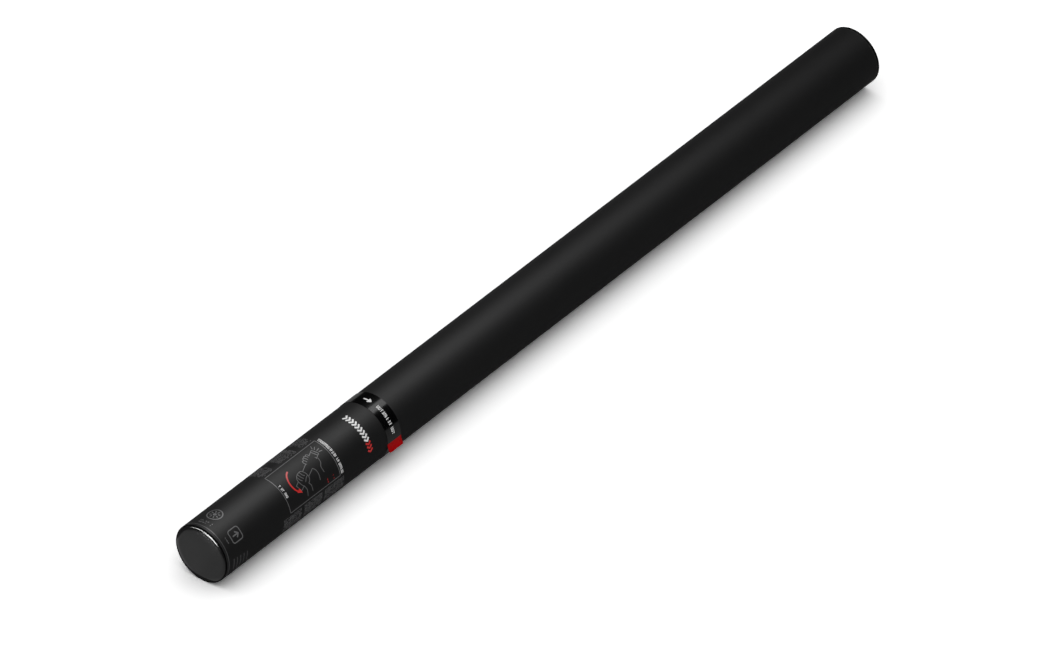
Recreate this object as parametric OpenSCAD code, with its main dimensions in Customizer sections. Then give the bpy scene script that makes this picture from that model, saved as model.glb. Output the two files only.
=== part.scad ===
// Twist-fire confetti popper, lying along +X.
// The origin is the centre of the base face, on the tube's axis, and all sizes are millimetres.
// Turning the grip drives a cross pin along two helical slots. The pin pulls the plug off its seat,
// and the gas leaves through the web's ports and throws the wad and the slips out of the muzzle.

/* [Tube] */
// Length of the grip, from the base face to the joint
grip_len = 200; // [185:1:300]
// Length of the barrel, from the joint to the muzzle face
barrel_len = 600; // [440:1:1000]
// Outer diameter of the finished tube
tube_od = 50; // [47:0.5:60]
// Wall of the cardboard tube under its paper wrap
tube_wall = 2; // [1.2:0.1:3]
// Thickness of the paper wrap
wrap_t = 0.3; // [0.2:0.05:0.5]
// Gap between the two tubes where they turn on each other
joint_gap = 0.3; // [0.2:0.1:1]
// How far the paper wrap stops short of each end cap
wrap_setback = 0.3; // [0.1:0.1:1]

/* [End caps] */
// Thickness of a cap's flange
cap_flange_t = 2.2; // [1.8:0.1:4]
// Radius of a cap's rounded rim
cap_rim_r = 1.8; // [0.8:0.1:2]
// Length of a cap's plug inside the tube
cap_plug_len = 14; // [8:1:30]
// Wall of a cap's plug
cap_wall = 1.8; // [1.2:0.1:3]
// Chamfer that leads a cap's plug into the tube
cap_lead = 0.8; // [0.3:0.1:1]
// Number of crush ribs on the base cap's plug
crush_ribs = 12; // [4:1:24]
// Radius of a crush rib
crush_rib_r = 0.8; // [0.5:0.1:1.2]
// Play between the base cap's plug and the tube, taken up by the crush ribs
cap_play = 0.25; // [0.1:0.05:0.4]
// Number of stiffening ribs inside the base cap
stiff_ribs = 6; // [3:1:12]
// Height of the stiffening ribs
stiff_rib_h = 6; // [3:0.5:8]
// Thickness of the stiffening ribs
stiff_rib_t = 1.6; // [1:0.1:2.5]
// Radius of the boss where the stiffening ribs meet
cap_boss_r = 5; // [3:0.5:8]

/* [Gas cylinder] */
// Radial room between the gas cylinder and the tube's bore, taken up by the collar
cyl_room = 3.7; // [2.9:0.1:6]
// Wall of the gas cylinder
cyl_wall = 2; // [1.2:0.1:3]
// Radius of the gas cylinder's foot
cyl_foot_r = 6; // [4:0.5:10]
// Outer diameter of the neck
neck_od = 18; // [14:0.5:20]
// Length of the neck
neck_len = 14; // [10:0.5:20]
// Bore of the neck
neck_bore_d = 10; // [6:0.5:10.5]
// Thickness of the foam pad under the gas cylinder
pad_t = 5; // [3:0.5:10]
// Thickness of the gasket on the neck
gasket_t = 1.5; // [1:0.1:3]
// Length of the collar that centres the gas cylinder
collar_len = 14; // [8:1:25]
// Distance from the gas cylinder's foot to the collar
collar_rise = 24; // [12:1:40]
// Number of holes moulded through the collar
collar_holes = 16; // [6:1:20]
// Diameter of the collar's holes
collar_hole_d = 1.8; // [1:0.1:2.2]
// How far the foam pad stays inside the gas cylinder's edge
pad_inset = 1.8; // [1:0.1:4]

/* [Valve] */
// Twist that opens the valve, in degrees
twist = 90; // [60:1:110]
// Travel of the plug over that twist
plug_travel = 10; // [9:0.5:14]
// Bore in which the plug seals
seat_d = 14; // [13:0.5:15]
// Wall of the slotted cam tube
cam_wall = 3; // [2:0.1:3.5]
// Length of the valve plug
plug_len = 18; // [16:0.5:24]
// Distance from the plug's foot to its cross pin
pin_rise = 12; // [11:0.5:14]
// Distance from the plug's foot to its ring
plug_ring_rise = 3; // [2:0.1:3.5]
// Diameter of the cross pin
pin_d = 3; // [2:0.1:3.5]
// Play on each side of the cross pin in its slots
slot_play = 0.15; // [0.1:0.05:0.3]
// Thickness of the valve body's floor under the seat
floor_t = 2; // [1.5:0.1:3]
// Thickness of the bulkhead that is glued in the grip
bulkhead_t = 5; // [4:0.5:7]
// Length of the socket that holds the neck
socket_len = 9; // [6:0.5:12]
// Wall of the socket
socket_wall = 3; // [2:0.1:4]
// Number of gussets between the socket and the bulkhead
gussets = 6; // [3:1:10]
// Thickness of the gussets
gusset_t = 2; // [1.2:0.1:3]
// How far the gussets stop short of the socket's end and the bulkhead's edge
gusset_inset = 1; // [0.5:0.1:2]
// Thickness of the ring section on the plug
plug_ring_t = 1.8; // [1.2:0.1:2]
// Radial play of turning and sliding fits
run_play = 0.05; // [0.02:0.01:0.1]
// Play on each side of a sealing ring in its groove
groove_play = 0.2; // [0.05:0.05:0.3]
// Length of the cam tube beyond the snap ring
cam_lip = 2.2; // [1.5:0.1:4]
// How far each end of the cross pin stays inside the guide tube
pin_inset = 0.4; // [0.2:0.1:1]

/* [Coupler] */
// Depth of the coupler's web below the joint
web_depth = 12; // [8:0.5:14]
// Thickness of the coupler's web
web_t = 4; // [3:0.5:6]
// Length of the coupler's sleeve inside the grip
sleeve_in = 34; // [24:1:38]
// Length of the coupler's sleeve inside the barrel
sleeve_out = 35; // [20:1:60]
// Wall of the coupler's sleeve
sleeve_wall = 2.5; // [2:0.1:3.5]
// Wall of the guide tube
guide_wall = 2.5; // [2:0.1:3.2]
// Length of solid guide tube between the pin's last place and the web
guide_margin = 7; // [5:0.5:10]
// Number of gas ports in the web, with a rib between each pair
ports = 6; // [4:1:7]
// Diameter of a gas port
port_d = 5.4; // [3:0.1:5.6]
// Height of the ribs under the web
web_rib_h = 9; // [4:0.5:12]
// Thickness of the ribs under the web
web_rib_t = 1.8; // [1:0.1:2.5]
// Thickness of the ring section on the coupler
coupler_ring_t = 1.6; // [1:0.1:1.9]
// Thickness of the thrust washer
washer_t = 1; // [0.5:0.1:1.5]
// Radial width of the thrust washer
washer_w = 4; // [2:0.1:5]
// Thickness of the snap ring
snap_t = 1.2; // [0.8:0.1:1.5]
// Radial width of the snap ring
snap_w = 2.4; // [1.6:0.1:3]
// Depth of the snap ring's groove
snap_groove = 0.8; // [0.4:0.1:1.2]
// Opening of the snap ring
snap_gap = 4; // [2:0.5:6]
// Radius of the snap ring's lugs
lug_r = 1.9; // [1.5:0.1:2.2]
// Diameter of the holes in the lugs
lug_hole_d = 1.2; // [0.8:0.1:1.6]

/* [Charge] */
// Length of a foil slip
slip_len = 55; // [40:1:60]
// Width of a foil slip
slip_w = 17; // [12:0.5:18]
// Play between the edges of the stacks and the bore
stack_play = 1.2; // [0.9:0.1:3]
// Number of bundles in a stack
stack_bundles = 6; // [2:1:10]
// Number of layers of stacks along the barrel
charge_layers = 6; // [1:1:6]
// Turn of each layer against the one behind it, in degrees
layer_turn = 25; // [0:5:90]
// Space between stacks, and between the layers
stack_space = 0.8; // [0.6:0.1:0.9]
// Thickness of the card disc of the wad
wad_t = 2; // [1:0.5:4]
// Thickness of the foam disc of the wad
foam_t = 10; // [5:1:20]
// Play between the wad and the bore, and between loose pieces and their seats
loose_play = 0.3; // [0.2:0.05:0.5]

/* [Seal] */
// Width of the seal tape
seal_w = 16; // [10:1:30]
// Thickness of the seal tape
seal_t = 0.2; // [0.15:0.05:0.4]
// Thickness of the glue film under the seal tape
seal_glue = 0.1; // [0.05:0.05:0.2]
// Where the tape ends and its tab starts, in degrees below the tube's side
tab_start = 1.4; // [0:0.2:10]
// Gap in the tape behind the tab, in degrees
seal_open = 10; // [5:1:30]
// Length of the pull tab
tab_len = 7.5; // [5:0.5:20]
// Angle at which the tab stands off the tube, in degrees
tab_flare = 19; // [10:1:40]

/* [Hidden] */
$fn = 96;
// Overshoot of a cut past the face that it goes through
cut = 1;
total_len = grip_len + barrel_len;
tube_r = tube_od / 2;
core_r = tube_r - wrap_t;
bore_r = core_r - tube_wall;
cyl_r = bore_r - cyl_room;
neck_r = neck_od / 2;
seat_r = seat_d / 2;
cam_r = seat_r + cam_wall;
pin_r = pin_d / 2;
slot_r = pin_r + slot_play;
guide_bore_r = cam_r + run_play;
guide_r = guide_bore_r + guide_wall;
sleeve_r = bore_r - run_play;
sleeve_bore_r = sleeve_r - sleeve_wall;
snap_r = cam_r - snap_groove;

// Places along the tube, each worked out from its neighbour
muzzle_seat = total_len - cap_flange_t;
rib_top = cap_flange_t + stiff_rib_h;
crush_h = cap_plug_len - stiff_rib_h - 2 * cap_lead;
pad_top = rib_top + pad_t;
web_top = grip_len - web_depth;
web_foot = web_top - web_t;
pin_open = web_foot - guide_margin;
pin_shut = pin_open - plug_travel;
plug_foot = pin_shut - pin_rise;
seat_foot = plug_foot - 2 * loose_play;
floor_foot = seat_foot - floor_t;
bulkhead_top = floor_foot + bulkhead_t;
neck_end = floor_foot - gasket_t;
neck_foot = neck_end - neck_len;
shoulder_r = cyl_r - neck_r;
shoulder_foot = neck_foot - shoulder_r;
guide_foot = bulkhead_top + loose_play;
sleeve_foot = grip_len - sleeve_in;
sleeve_end = grip_len + sleeve_out;
washer_foot = web_top + loose_play / 2;
snap_foot = washer_foot + washer_t;
cam_end = snap_foot + snap_t + cam_lip;
wad_foot = sleeve_end + loose_play;
foam_foot = wad_foot + wad_t;
charge_foot = foam_foot + foam_t + loose_play;
layer_pitch = slip_len + stack_space;
stack_h = 2 * sqrt(pow(bore_r - stack_play, 2) - pow(slip_w + stack_space, 2));
bundle_h = stack_h / stack_bundles;
port_ring_r = (guide_r + sleeve_bore_r) / 2;

// Lays a piece that is drawn upright along +X
module lay() {
    rotate([0, 90, 0]) children();
}

// Straight ring between two heights
module ring(outer_r, inner_r, foot, top) {
    translate([0, 0, foot])
        linear_extrude(top - foot)
            difference() {
                circle(r = outer_r);
                circle(r = inner_r);
            }
}

// Ring of round section
module o_ring(outer_r, section_t, height) {
    translate([0, 0, height])
        rotate_extrude()
            translate([outer_r - section_t / 2, 0]) circle(r = section_t / 2, $fn = 48);
}

// Groove for a ring of round section, cut into a wall from outside
module ring_groove(wall_r, outer_r, section_t, height) {
    reach = section_t / 2 + groove_play;
    ring(wall_r + cut, outer_r - section_t, height - reach, height + reach);
}

// Upright plate that reaches from one radius to another
module radial_plate(from_r, to_r, thickness, height) {
    translate([from_r, -thickness / 2, 0]) cube([to_r - from_r, thickness, height]);
}

// Half section of a cap's flange, with a rounded rim
module flange_section() {
    intersection() {
        union() {
            square([tube_r - cap_rim_r, cap_flange_t]);
            translate([0, cap_rim_r]) square([tube_r, cap_flange_t]);
            translate([tube_r - cap_rim_r, cap_rim_r]) circle(r = cap_rim_r);
        }
        square([tube_r, cap_flange_t]);
    }
}

// Half section of a cap's hollow plug above a height, with the chamfer that leads it in
module plug_end_section(plug_r, foot) {
    top = cap_flange_t + cap_plug_len;
    polygon([
        [plug_r - cap_wall, foot], [plug_r, foot], [plug_r, top - cap_lead],
        [plug_r - cap_lead, top], [plug_r - cap_wall, top]
    ]);
}

// Half section of the gas cylinder's outside, drawn in by an amount
module cylinder_section(inset) {
    foot_mid = pad_top + cyl_foot_r;
    intersection() {
        union() {
            translate([0, pad_top + inset]) square([cyl_r - cyl_foot_r, cyl_foot_r]);
            translate([cyl_r - cyl_foot_r, foot_mid]) circle(r = cyl_foot_r - inset);
            translate([0, foot_mid]) square([cyl_r - inset, shoulder_foot - foot_mid]);
            translate([neck_r, shoulder_foot]) circle(r = shoulder_r - inset);
            translate([0, shoulder_foot]) square([neck_r, shoulder_r - inset]);
        }
        translate([0, pad_top]) square([cyl_r, neck_foot - pad_top]);
    }
}

// The path of the cross pin in the cam tube: a helix milled through both sides
module helical_slots() {
    steps = 20;
    for (i = [0 : steps])
        rotate([0, 0, -twist * i / steps])
            translate([0, 0, pin_shut + plug_travel * i / steps])
                rotate([0, 90, 0]) cylinder(r = slot_r, h = 2 * cam_r + 2 * cut, center = true);
}

// Stack of slips, in bundles that don't quite line up
module slip_stack() {
    slack = (stack_space - loose_play) / 2;
    for (i = [0 : stack_bundles - 1])
        translate([slack * sin(137 * i), i * bundle_h - stack_h / 2, 0])
            translate([-slip_w / 2, 0, 0]) cube([slip_w, bundle_h, slip_len]);
}

module barrel_tube() {
    color("#b08d62") lay() ring(core_r, bore_r, grip_len + joint_gap / 2, muzzle_seat);
}

module barrel_wrap() {
    color("#2b2b2c") lay() ring(tube_r, core_r, grip_len + joint_gap / 2, muzzle_seat - wrap_setback);
}

module grip_tube() {
    color("#b08d62") lay() ring(core_r, bore_r, cap_flange_t, grip_len - joint_gap / 2);
}

module grip_wrap() {
    color("#2b2b2c") lay() ring(tube_r, core_r, cap_flange_t + wrap_setback, grip_len - joint_gap / 2);
}

// Plan of the ribs that stiffen the base cap, and of the boss where they meet
module stiffener_plan(reach) {
    circle(r = cap_boss_r);
    for (i = [0 : stiff_ribs - 1])
        rotate((i + 0.5) * 360 / stiff_ribs)
            translate([cap_boss_r / 2, -stiff_rib_t / 2]) square([reach - cap_boss_r / 2, stiff_rib_t]);
}

module base_cap() {
    plug_r = bore_r - cap_play;
    foot = cap_flange_t / 2;
    color("#333334") lay() {
        rotate_extrude() {
            flange_section();
            plug_end_section(plug_r, foot);
        }
        translate([0, 0, foot]) linear_extrude(rib_top - foot) stiffener_plan(plug_r - cap_wall / 2);
        for (i = [0 : crush_ribs - 1])
            rotate([0, 0, (i + 0.5) * 360 / crush_ribs])
                translate([bore_r - crush_rib_r, 0, foot])
                    cylinder(r = crush_rib_r, h = rib_top + crush_h - foot, $fn = 24);
    }
}

module base_pad() {
    color("#3d3d42") lay() translate([0, 0, rib_top]) cylinder(r = cyl_r - pad_inset, h = pad_t);
}

module gas_cylinder() {
    color("#c3c6c9") lay()
        rotate_extrude()
            difference() {
                union() {
                    cylinder_section(0);
                    translate([0, neck_foot - shoulder_r / 2])
                        square([neck_r, neck_len + shoulder_r / 2]);
                }
                cylinder_section(cyl_wall);
                translate([0, shoulder_foot]) square([neck_bore_d / 2, neck_end + cut - shoulder_foot]);
            }
}

module cylinder_collar() {
    collar_foot = pad_top + collar_rise;
    color("#e8e6df") lay() difference() {
        ring(bore_r, cyl_r, collar_foot, collar_foot + collar_len);
        for (i = [0 : collar_holes - 1])
            rotate([0, 0, i * 360 / collar_holes])
                translate([(bore_r + cyl_r) / 2, 0, collar_foot - cut])
                    cylinder(d = collar_hole_d, h = collar_len + 2 * cut, $fn = 24);
    }
}

module neck_gasket() {
    color("#1c1c1c") lay() ring(neck_r, neck_bore_d / 2, neck_end, floor_foot);
}

module valve_body() {
    socket_r = neck_r + socket_wall;
    gusset_h = socket_len - gusset_inset;
    gusset_foot_r = neck_r + gusset_inset;
    gusset_end_r = bore_r - gusset_inset;
    color("#d8d4c6") lay() difference() {
        union() {
            translate([0, 0, floor_foot - socket_len]) cylinder(r = socket_r, h = socket_len + floor_t);
            translate([0, 0, floor_foot]) cylinder(r = bore_r, h = bulkhead_t);
            translate([0, 0, floor_foot]) cylinder(r = cam_r, h = cam_end - floor_foot);
            for (i = [0 : gussets - 1])
                rotate([90, 0, i * 360 / gussets])
                    translate([0, floor_foot, -gusset_t / 2])
                        linear_extrude(gusset_t)
                            polygon([[gusset_foot_r, gusset_inset], [gusset_end_r, gusset_inset],
                                     [gusset_end_r, 0], [socket_r, -gusset_h], [gusset_foot_r, -gusset_h]]);
        }
        translate([0, 0, floor_foot - socket_len - cut]) cylinder(r = neck_r, h = socket_len + cut);
        translate([0, 0, floor_foot - cut]) cylinder(d = neck_bore_d, h = floor_t + 2 * cut);
        translate([0, 0, seat_foot]) cylinder(r = seat_r, h = cam_end - seat_foot + cut);
        helical_slots();
        ring(cam_r + cut, snap_r, snap_foot, snap_foot + snap_t);
    }
}

module thrust_washer() {
    color("#b5b8bb") lay() ring(cam_r + washer_w, cam_r, washer_foot, washer_foot + washer_t);
}

module snap_ring() {
    ring_r = snap_r + snap_w;
    lug_turn = asin((snap_gap / 2 + lug_r) / ring_r);
    color("#8b8f94") lay() translate([0, 0, snap_foot])
        linear_extrude(snap_t)
            difference() {
                union() {
                    circle(r = ring_r);
                    for (side = [-1, 1])
                        rotate(side * lug_turn) translate([ring_r, 0]) circle(r = lug_r);
                }
                circle(r = snap_r);
                translate([0, -snap_gap / 2]) square([ring_r + 3 * lug_r, snap_gap]);
                for (side = [-1, 1])
                    rotate(side * lug_turn) translate([ring_r, 0]) circle(d = lug_hole_d, $fn = 24);
            }
}

module breech_coupler() {
    color("#d9dadb") lay() difference() {
        union() {
            ring(sleeve_r, sleeve_bore_r, sleeve_foot, grip_len + joint_gap / 2);
            ring(bore_r, sleeve_bore_r, grip_len + joint_gap / 2, sleeve_end);
            translate([0, 0, web_foot]) cylinder(r = sleeve_r - sleeve_wall / 2, h = web_t);
            translate([0, 0, guide_foot]) cylinder(r = guide_r, h = web_top - guide_foot);
            for (i = [0 : ports - 1])
                rotate([0, 0, (i + 0.5) * 360 / ports])
                    translate([0, 0, web_foot - web_rib_h])
                        radial_plate(guide_r - guide_wall / 2, sleeve_r - sleeve_wall / 2,
                                     web_rib_t, web_rib_h + web_t / 2);
        }
        translate([0, 0, guide_foot - cut]) cylinder(r = guide_bore_r, h = web_top - guide_foot + 2 * cut);
        for (i = [0 : ports - 1])
            rotate([0, 0, i * 360 / ports])
                translate([port_ring_r, 0, web_foot - cut]) cylinder(d = port_d, h = web_t + 2 * cut);
        guide_slots();
        ring_groove(sleeve_r, bore_r - run_play / 2, coupler_ring_t, web_foot + web_t / 2);
    }
}

// Straight slots that keep the cross pin from turning with the grip
module guide_slots() {
    for (height = [pin_shut, pin_open])
        translate([0, 0, height])
            rotate([0, 90, 0]) cylinder(r = slot_r, h = 2 * guide_r + 2 * cut, center = true);
    translate([-guide_r - cut, -slot_r, pin_shut]) cube([2 * guide_r + 2 * cut, 2 * slot_r, plug_travel]);
}

module coupler_o_ring() {
    color("#1c1c1c") lay() o_ring(bore_r - run_play / 2, coupler_ring_t, web_foot + web_t / 2);
}

module valve_plug() {
    plug_r = seat_r - run_play;
    color("#c9a227") lay() difference() {
        translate([0, 0, plug_foot]) cylinder(r = plug_r, h = plug_len);
        ring_groove(plug_r, seat_r - run_play / 2, plug_ring_t, plug_foot + plug_ring_rise);
        translate([0, 0, pin_shut]) rotate([0, 90, 0]) cylinder(r = pin_r, h = 2 * plug_r + 2 * cut, center = true);
        translate([0, 0, pin_shut + pin_d]) cylinder(r = plug_r / 2, h = plug_len);
    }
}

module plug_o_ring() {
    color("#1c1c1c") lay() o_ring(seat_r - run_play / 2, plug_ring_t, plug_foot + plug_ring_rise);
}

module cross_pin() {
    color("#9da1a6") lay() translate([0, 0, pin_shut])
        rotate([0, 90, 0]) cylinder(r = pin_r, h = 2 * (guide_r - pin_inset), center = true);
}

module wad_disc() {
    color("#a5804f") lay() translate([0, 0, wad_foot]) cylinder(r = bore_r - loose_play, h = wad_t);
}

module foam_wad() {
    color("#e9e4da") lay() translate([0, 0, foam_foot]) cylinder(r = bore_r - loose_play, h = foam_t);
}

module foil_slips() {
    color("#c8ccd0") lay()
        for (layer = [0 : charge_layers - 1])
            rotate([0, 0, layer * layer_turn])
                for (side = [-1, 1])
                    translate([side * (slip_w + stack_space) / 2, 0, charge_foot + layer * layer_pitch])
                        slip_stack();
}

module muzzle_cap() {
    color("#222223") lay() translate([0, 0, total_len]) mirror([0, 0, 1])
        rotate_extrude() {
            flange_section();
            plug_end_section(bore_r - run_play, cap_flange_t);
        }
}

module seal_band() {
    inner_r = tube_r + seal_glue;
    outer_r = inner_r + seal_t;
    reach = 2 * tube_r;
    turns = [-90 + tab_start, -90 + tab_start + seal_open];
    color("#0d0d0e") lay() translate([0, 0, grip_len - seal_w / 2])
        linear_extrude(seal_w)
            difference() {
                circle(r = outer_r);
                circle(r = inner_r);
                polygon([[0, 0], for (a = turns) reach * [cos(a), sin(a)]]);
            }
}

module seal_pull_tab() {
    inner_r = tube_r + seal_glue;
    outer_r = inner_r + seal_t;
    root = [cos(-90 + tab_start), sin(-90 + tab_start)];
    pull = tab_len * [cos(tab_flare), -sin(tab_flare)];
    color("#b3000c") lay() translate([0, 0, grip_len - seal_w / 2])
        linear_extrude(seal_w)
            polygon([inner_r * root, outer_r * root, outer_r * root + pull, inner_r * root + pull]);
}

barrel_tube();
barrel_wrap();
breech_coupler();
coupler_o_ring();
grip_tube();
grip_wrap();
base_cap();
base_pad();
gas_cylinder();
cylinder_collar();
neck_gasket();
valve_body();
thrust_washer();
snap_ring();
valve_plug();
plug_o_ring();
cross_pin();
wad_disc();
foam_wad();
foil_slips();
muzzle_cap();
seal_band();
seal_pull_tab();
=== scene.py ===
from math import ceil, cos, pi, radians, sin, sqrt, tau
from types import SimpleNamespace

import bmesh
import bpy
from bpy.props import FloatProperty, FloatVectorProperty, IntProperty, PointerProperty
from bpy.types import Operator, Panel, PropertyGroup
from mathutils import Matrix, Vector


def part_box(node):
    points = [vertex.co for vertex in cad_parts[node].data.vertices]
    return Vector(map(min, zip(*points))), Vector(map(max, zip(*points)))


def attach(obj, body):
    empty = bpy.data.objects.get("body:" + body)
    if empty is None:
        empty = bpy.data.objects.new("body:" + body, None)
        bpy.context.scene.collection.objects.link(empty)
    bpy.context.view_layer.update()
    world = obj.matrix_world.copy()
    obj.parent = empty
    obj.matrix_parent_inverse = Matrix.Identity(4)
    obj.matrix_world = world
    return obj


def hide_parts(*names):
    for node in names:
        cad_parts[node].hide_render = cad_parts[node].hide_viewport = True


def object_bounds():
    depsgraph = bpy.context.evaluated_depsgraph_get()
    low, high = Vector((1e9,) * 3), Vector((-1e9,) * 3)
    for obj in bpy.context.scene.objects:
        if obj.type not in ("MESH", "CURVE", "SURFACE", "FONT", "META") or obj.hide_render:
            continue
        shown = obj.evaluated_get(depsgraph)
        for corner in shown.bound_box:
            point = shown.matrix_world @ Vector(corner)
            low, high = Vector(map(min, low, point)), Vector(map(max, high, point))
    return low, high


bl_info = {
    "name": "Confetti Popper",
    "version": (1, 0, 0),
    "blender": (4, 5, 0),
    "location": "View3D > Sidebar > Popper",
    "description": "Papers, prints, seals and fills the twist-fire confetti popper",
    "category": "Object",
}

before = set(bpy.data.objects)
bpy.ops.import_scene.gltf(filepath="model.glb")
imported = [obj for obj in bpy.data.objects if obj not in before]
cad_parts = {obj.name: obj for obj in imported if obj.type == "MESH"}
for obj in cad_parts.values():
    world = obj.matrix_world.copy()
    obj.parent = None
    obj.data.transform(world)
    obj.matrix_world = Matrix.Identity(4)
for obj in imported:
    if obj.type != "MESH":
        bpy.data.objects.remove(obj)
CAD_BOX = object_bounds()
MM = 0.001


def reach(node):
    """First and last place of a round CAD node along the tube, and its outer radius."""
    low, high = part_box(node)
    return low.x, high.x, (high.z - low.z) / 2


BARREL = reach("barrel_wrap")
GRIP = reach("grip_wrap")
BARREL_BOARD = reach("barrel_tube")
GRIP_BOARD = reach("grip_tube")
TAPE = reach("seal_band")
FLOOR = CAD_BOX[0].z
SETBACK = 0.05 * MM  # play of a plug in its bore, and of a label's end behind its board's
LAP_RAMP = radians(6)  # the turn in which a label climbs over its own start
RING_LINE = 2.75  # place of the ring printed by the base, in millimetres
CREASE = radians(32)  # edges bent more than this stay sharp
FOIL_CREASE = radians(40)  # the same in the crinkled slips
EASED_STEPS = 4  # steps in a rounded corner of an outline
CORNER_POINTS = EASED_STEPS + 1
TAPE_STEPS = 220  # flats of the seal tape
TAB_STEPS = 24  # steps along the pull tab
DISC_STEPS = 128  # flats round a foam disc
EASE = 0.05 * MM  # bevel of a label's ends, five times that of the tape's


def length(name, description, default, most=1.0):
    return FloatProperty(
        name=name, description=description, default=default, min=0, max=most, precision=5,
        unit="LENGTH",
    )


def colour(name, description, *default):
    return FloatVectorProperty(
        name=name, description=description, default=(*default, 1), size=4, min=0, max=1,
        subtype="COLOR",
    )


def angle(name, description, degrees):
    return FloatProperty(
        name=name, description=description, default=radians(degrees), subtype="ANGLE"
    )


def number(name, description, default, least=0.0, most=5000.0):
    return FloatProperty(name=name, description=description, default=default, min=least, max=most)


def count(name, description, default, least=0):
    return IntProperty(name=name, description=description, default=default, min=least)


class PopperTubeSettings(PropertyGroup):
    """The cardboard tubes and their paper labels"""

    board_wall: length("Board Wall", "Wall of the wound cardboard tube", 2.0 * MM)
    board_pitch: length("Board Pitch", "Way along the tube between two spiral seams", 78 * MM)
    board: colour("Board", "Kraft cardboard", 0.36, 0.225, 0.118)
    label_wall: length("Label Wall", "Thickness of the paper label", 0.3 * MM)
    lap_rise: length("Lap Rise", "Step where the label overlaps itself", 0.07 * MM)
    lap_angle: angle("Lap Angle", "How far round the label overlaps itself", 24)
    lap_place: angle("Lap Place", "Where the overlap ends, counted up from the -Y side", 226)
    label: colour("Label", "Black of the printed label", 0.0044, 0.0044, 0.0047)
    label_gloss: number("Label Roughness", "Roughness of the matt varnish", 0.56, 0.05, 1)
    steps: count("Steps", "Flats round the tube", 240, 32)


class PopperPrintSettings(PropertyGroup):
    """The print on the grip's label"""

    facing: angle("Facing", "Middle of the print, counted up from the tube's -Y side", 51.02)
    film: length("Film", "Height of the ink on the paper", 0.02 * MM)
    white: colour("White Ink", "Ink of the large marks", 0.80, 0.80, 0.80)
    grey: colour("Grey Ink", "Ink of the symbols and the drawing", 0.130, 0.130, 0.133)
    faint: colour("Faint Ink", "Ink of the ring and the bars", 0.052, 0.052, 0.054)
    red: colour("Red Ink", "Ink of the turning arrow", 0.62, 0.018, 0.016)
    fine_line: length("Fine Line", "Width of the drawing's lines", 0.55 * MM)
    frame_line: length("Frame Line", "Width of the frame's line", 0.6 * MM)
    seed: count("Seed", "Seed of the small print's signs", 7)


class PopperSealSettings(PropertyGroup):
    """The seal tape over the joint, and its tab"""

    tape: colour("Tape", "Black film", 0.0008, 0.0008, 0.0009)
    tab: colour("Tab", "Red film", 0.355, 0.0006, 0.0014)
    film: length("Film", "Thickness of the tape", 0.2 * MM)
    creep: length("Creep", "How far the tape lies off the joint, towards the base", 0.5 * MM)
    tab_start: angle("Tab Start", "Where the tape ends, counted up from the -Y side", -1.4)
    opening: angle("Opening", "Gap in the tape below the tab", 10)
    flare: angle("Flare", "Angle at which the tab's end stands off the tube", 19)
    tab_length: length("Tab Length", "Length of the tab", 7.5 * MM)


class PopperChargeSettings(PropertyGroup):
    """The foil slips and the wad behind them"""

    layers: count("Layers", "Layers of slips along the barrel", 6, 1)
    layer_turn: angle("Layer Turn", "Turn of each layer against the one behind it", 25)
    layer_pitch: length("Layer Pitch", "Distance between two layers", 55.8 * MM)
    slip_length: length("Slip Length", "Length of a slip", 55 * MM)
    slip_width: length("Slip Width", "Width of a slip", 17 * MM)
    slip_film: length("Slip Film", "Thickness of a folded slip", 0.34 * MM)
    stack_gap: length("Stack Gap", "Space between the two stacks of a layer", 0.8 * MM)
    slips: count("Slips", "Slips shown in each stack", 36, 4)
    foil: colour("Foil", "Silver foil", 0.78, 0.79, 0.80)
    foam: colour("Foam", "Cream foam", 0.74, 0.70, 0.62)
    card: colour("Card", "Grey-brown card of the wad", 0.33, 0.24, 0.15)


class PopperFinishSettings(PropertyGroup):
    """The moulded, turned and pressed pieces"""

    cap_face: colour("Cap Face", "Satin face of the base cap", 0.0060, 0.0060, 0.0062)
    cap_rim: colour("Cap Rim", "Shoulder of the base cap, rim of the other", 0.0045, 0.0045, 0.0048)
    muzzle_face: colour("Muzzle Face", "Face and plug of the muzzle cap", 0.012, 0.012, 0.0122)
    cap_flat: length("Cap Flat", "Radius of the base cap's flat face", 20.2 * MM)
    cap_polish: length("Cap Polish", "Radius where the polished shoulder ends", 23.5 * MM)
    cap_round: length("Cap Round", "Rounding of the base cap's rim in the CAD", 1.8 * MM)
    cap_corner: length("Cap Corner", "Sharper rounding of the base cap's edge", 0.6 * MM)
    muzzle_corner: length("Muzzle Corner", "Rounding of the muzzle cap's edge", 0.35 * MM)
    pale: colour("Pale Plastic", "Valve body and coupler", 0.62, 0.60, 0.54)
    rubber: colour("Rubber", "Gasket and sealing rings", 0.012, 0.012, 0.012)
    aluminium: colour("Aluminium", "Gas cylinder", 0.70, 0.71, 0.72)
    brass: colour("Brass", "Valve plug", 0.74, 0.50, 0.20)
    steel: colour("Steel", "Pin, washer and snap ring", 0.46, 0.46, 0.47)


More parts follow.
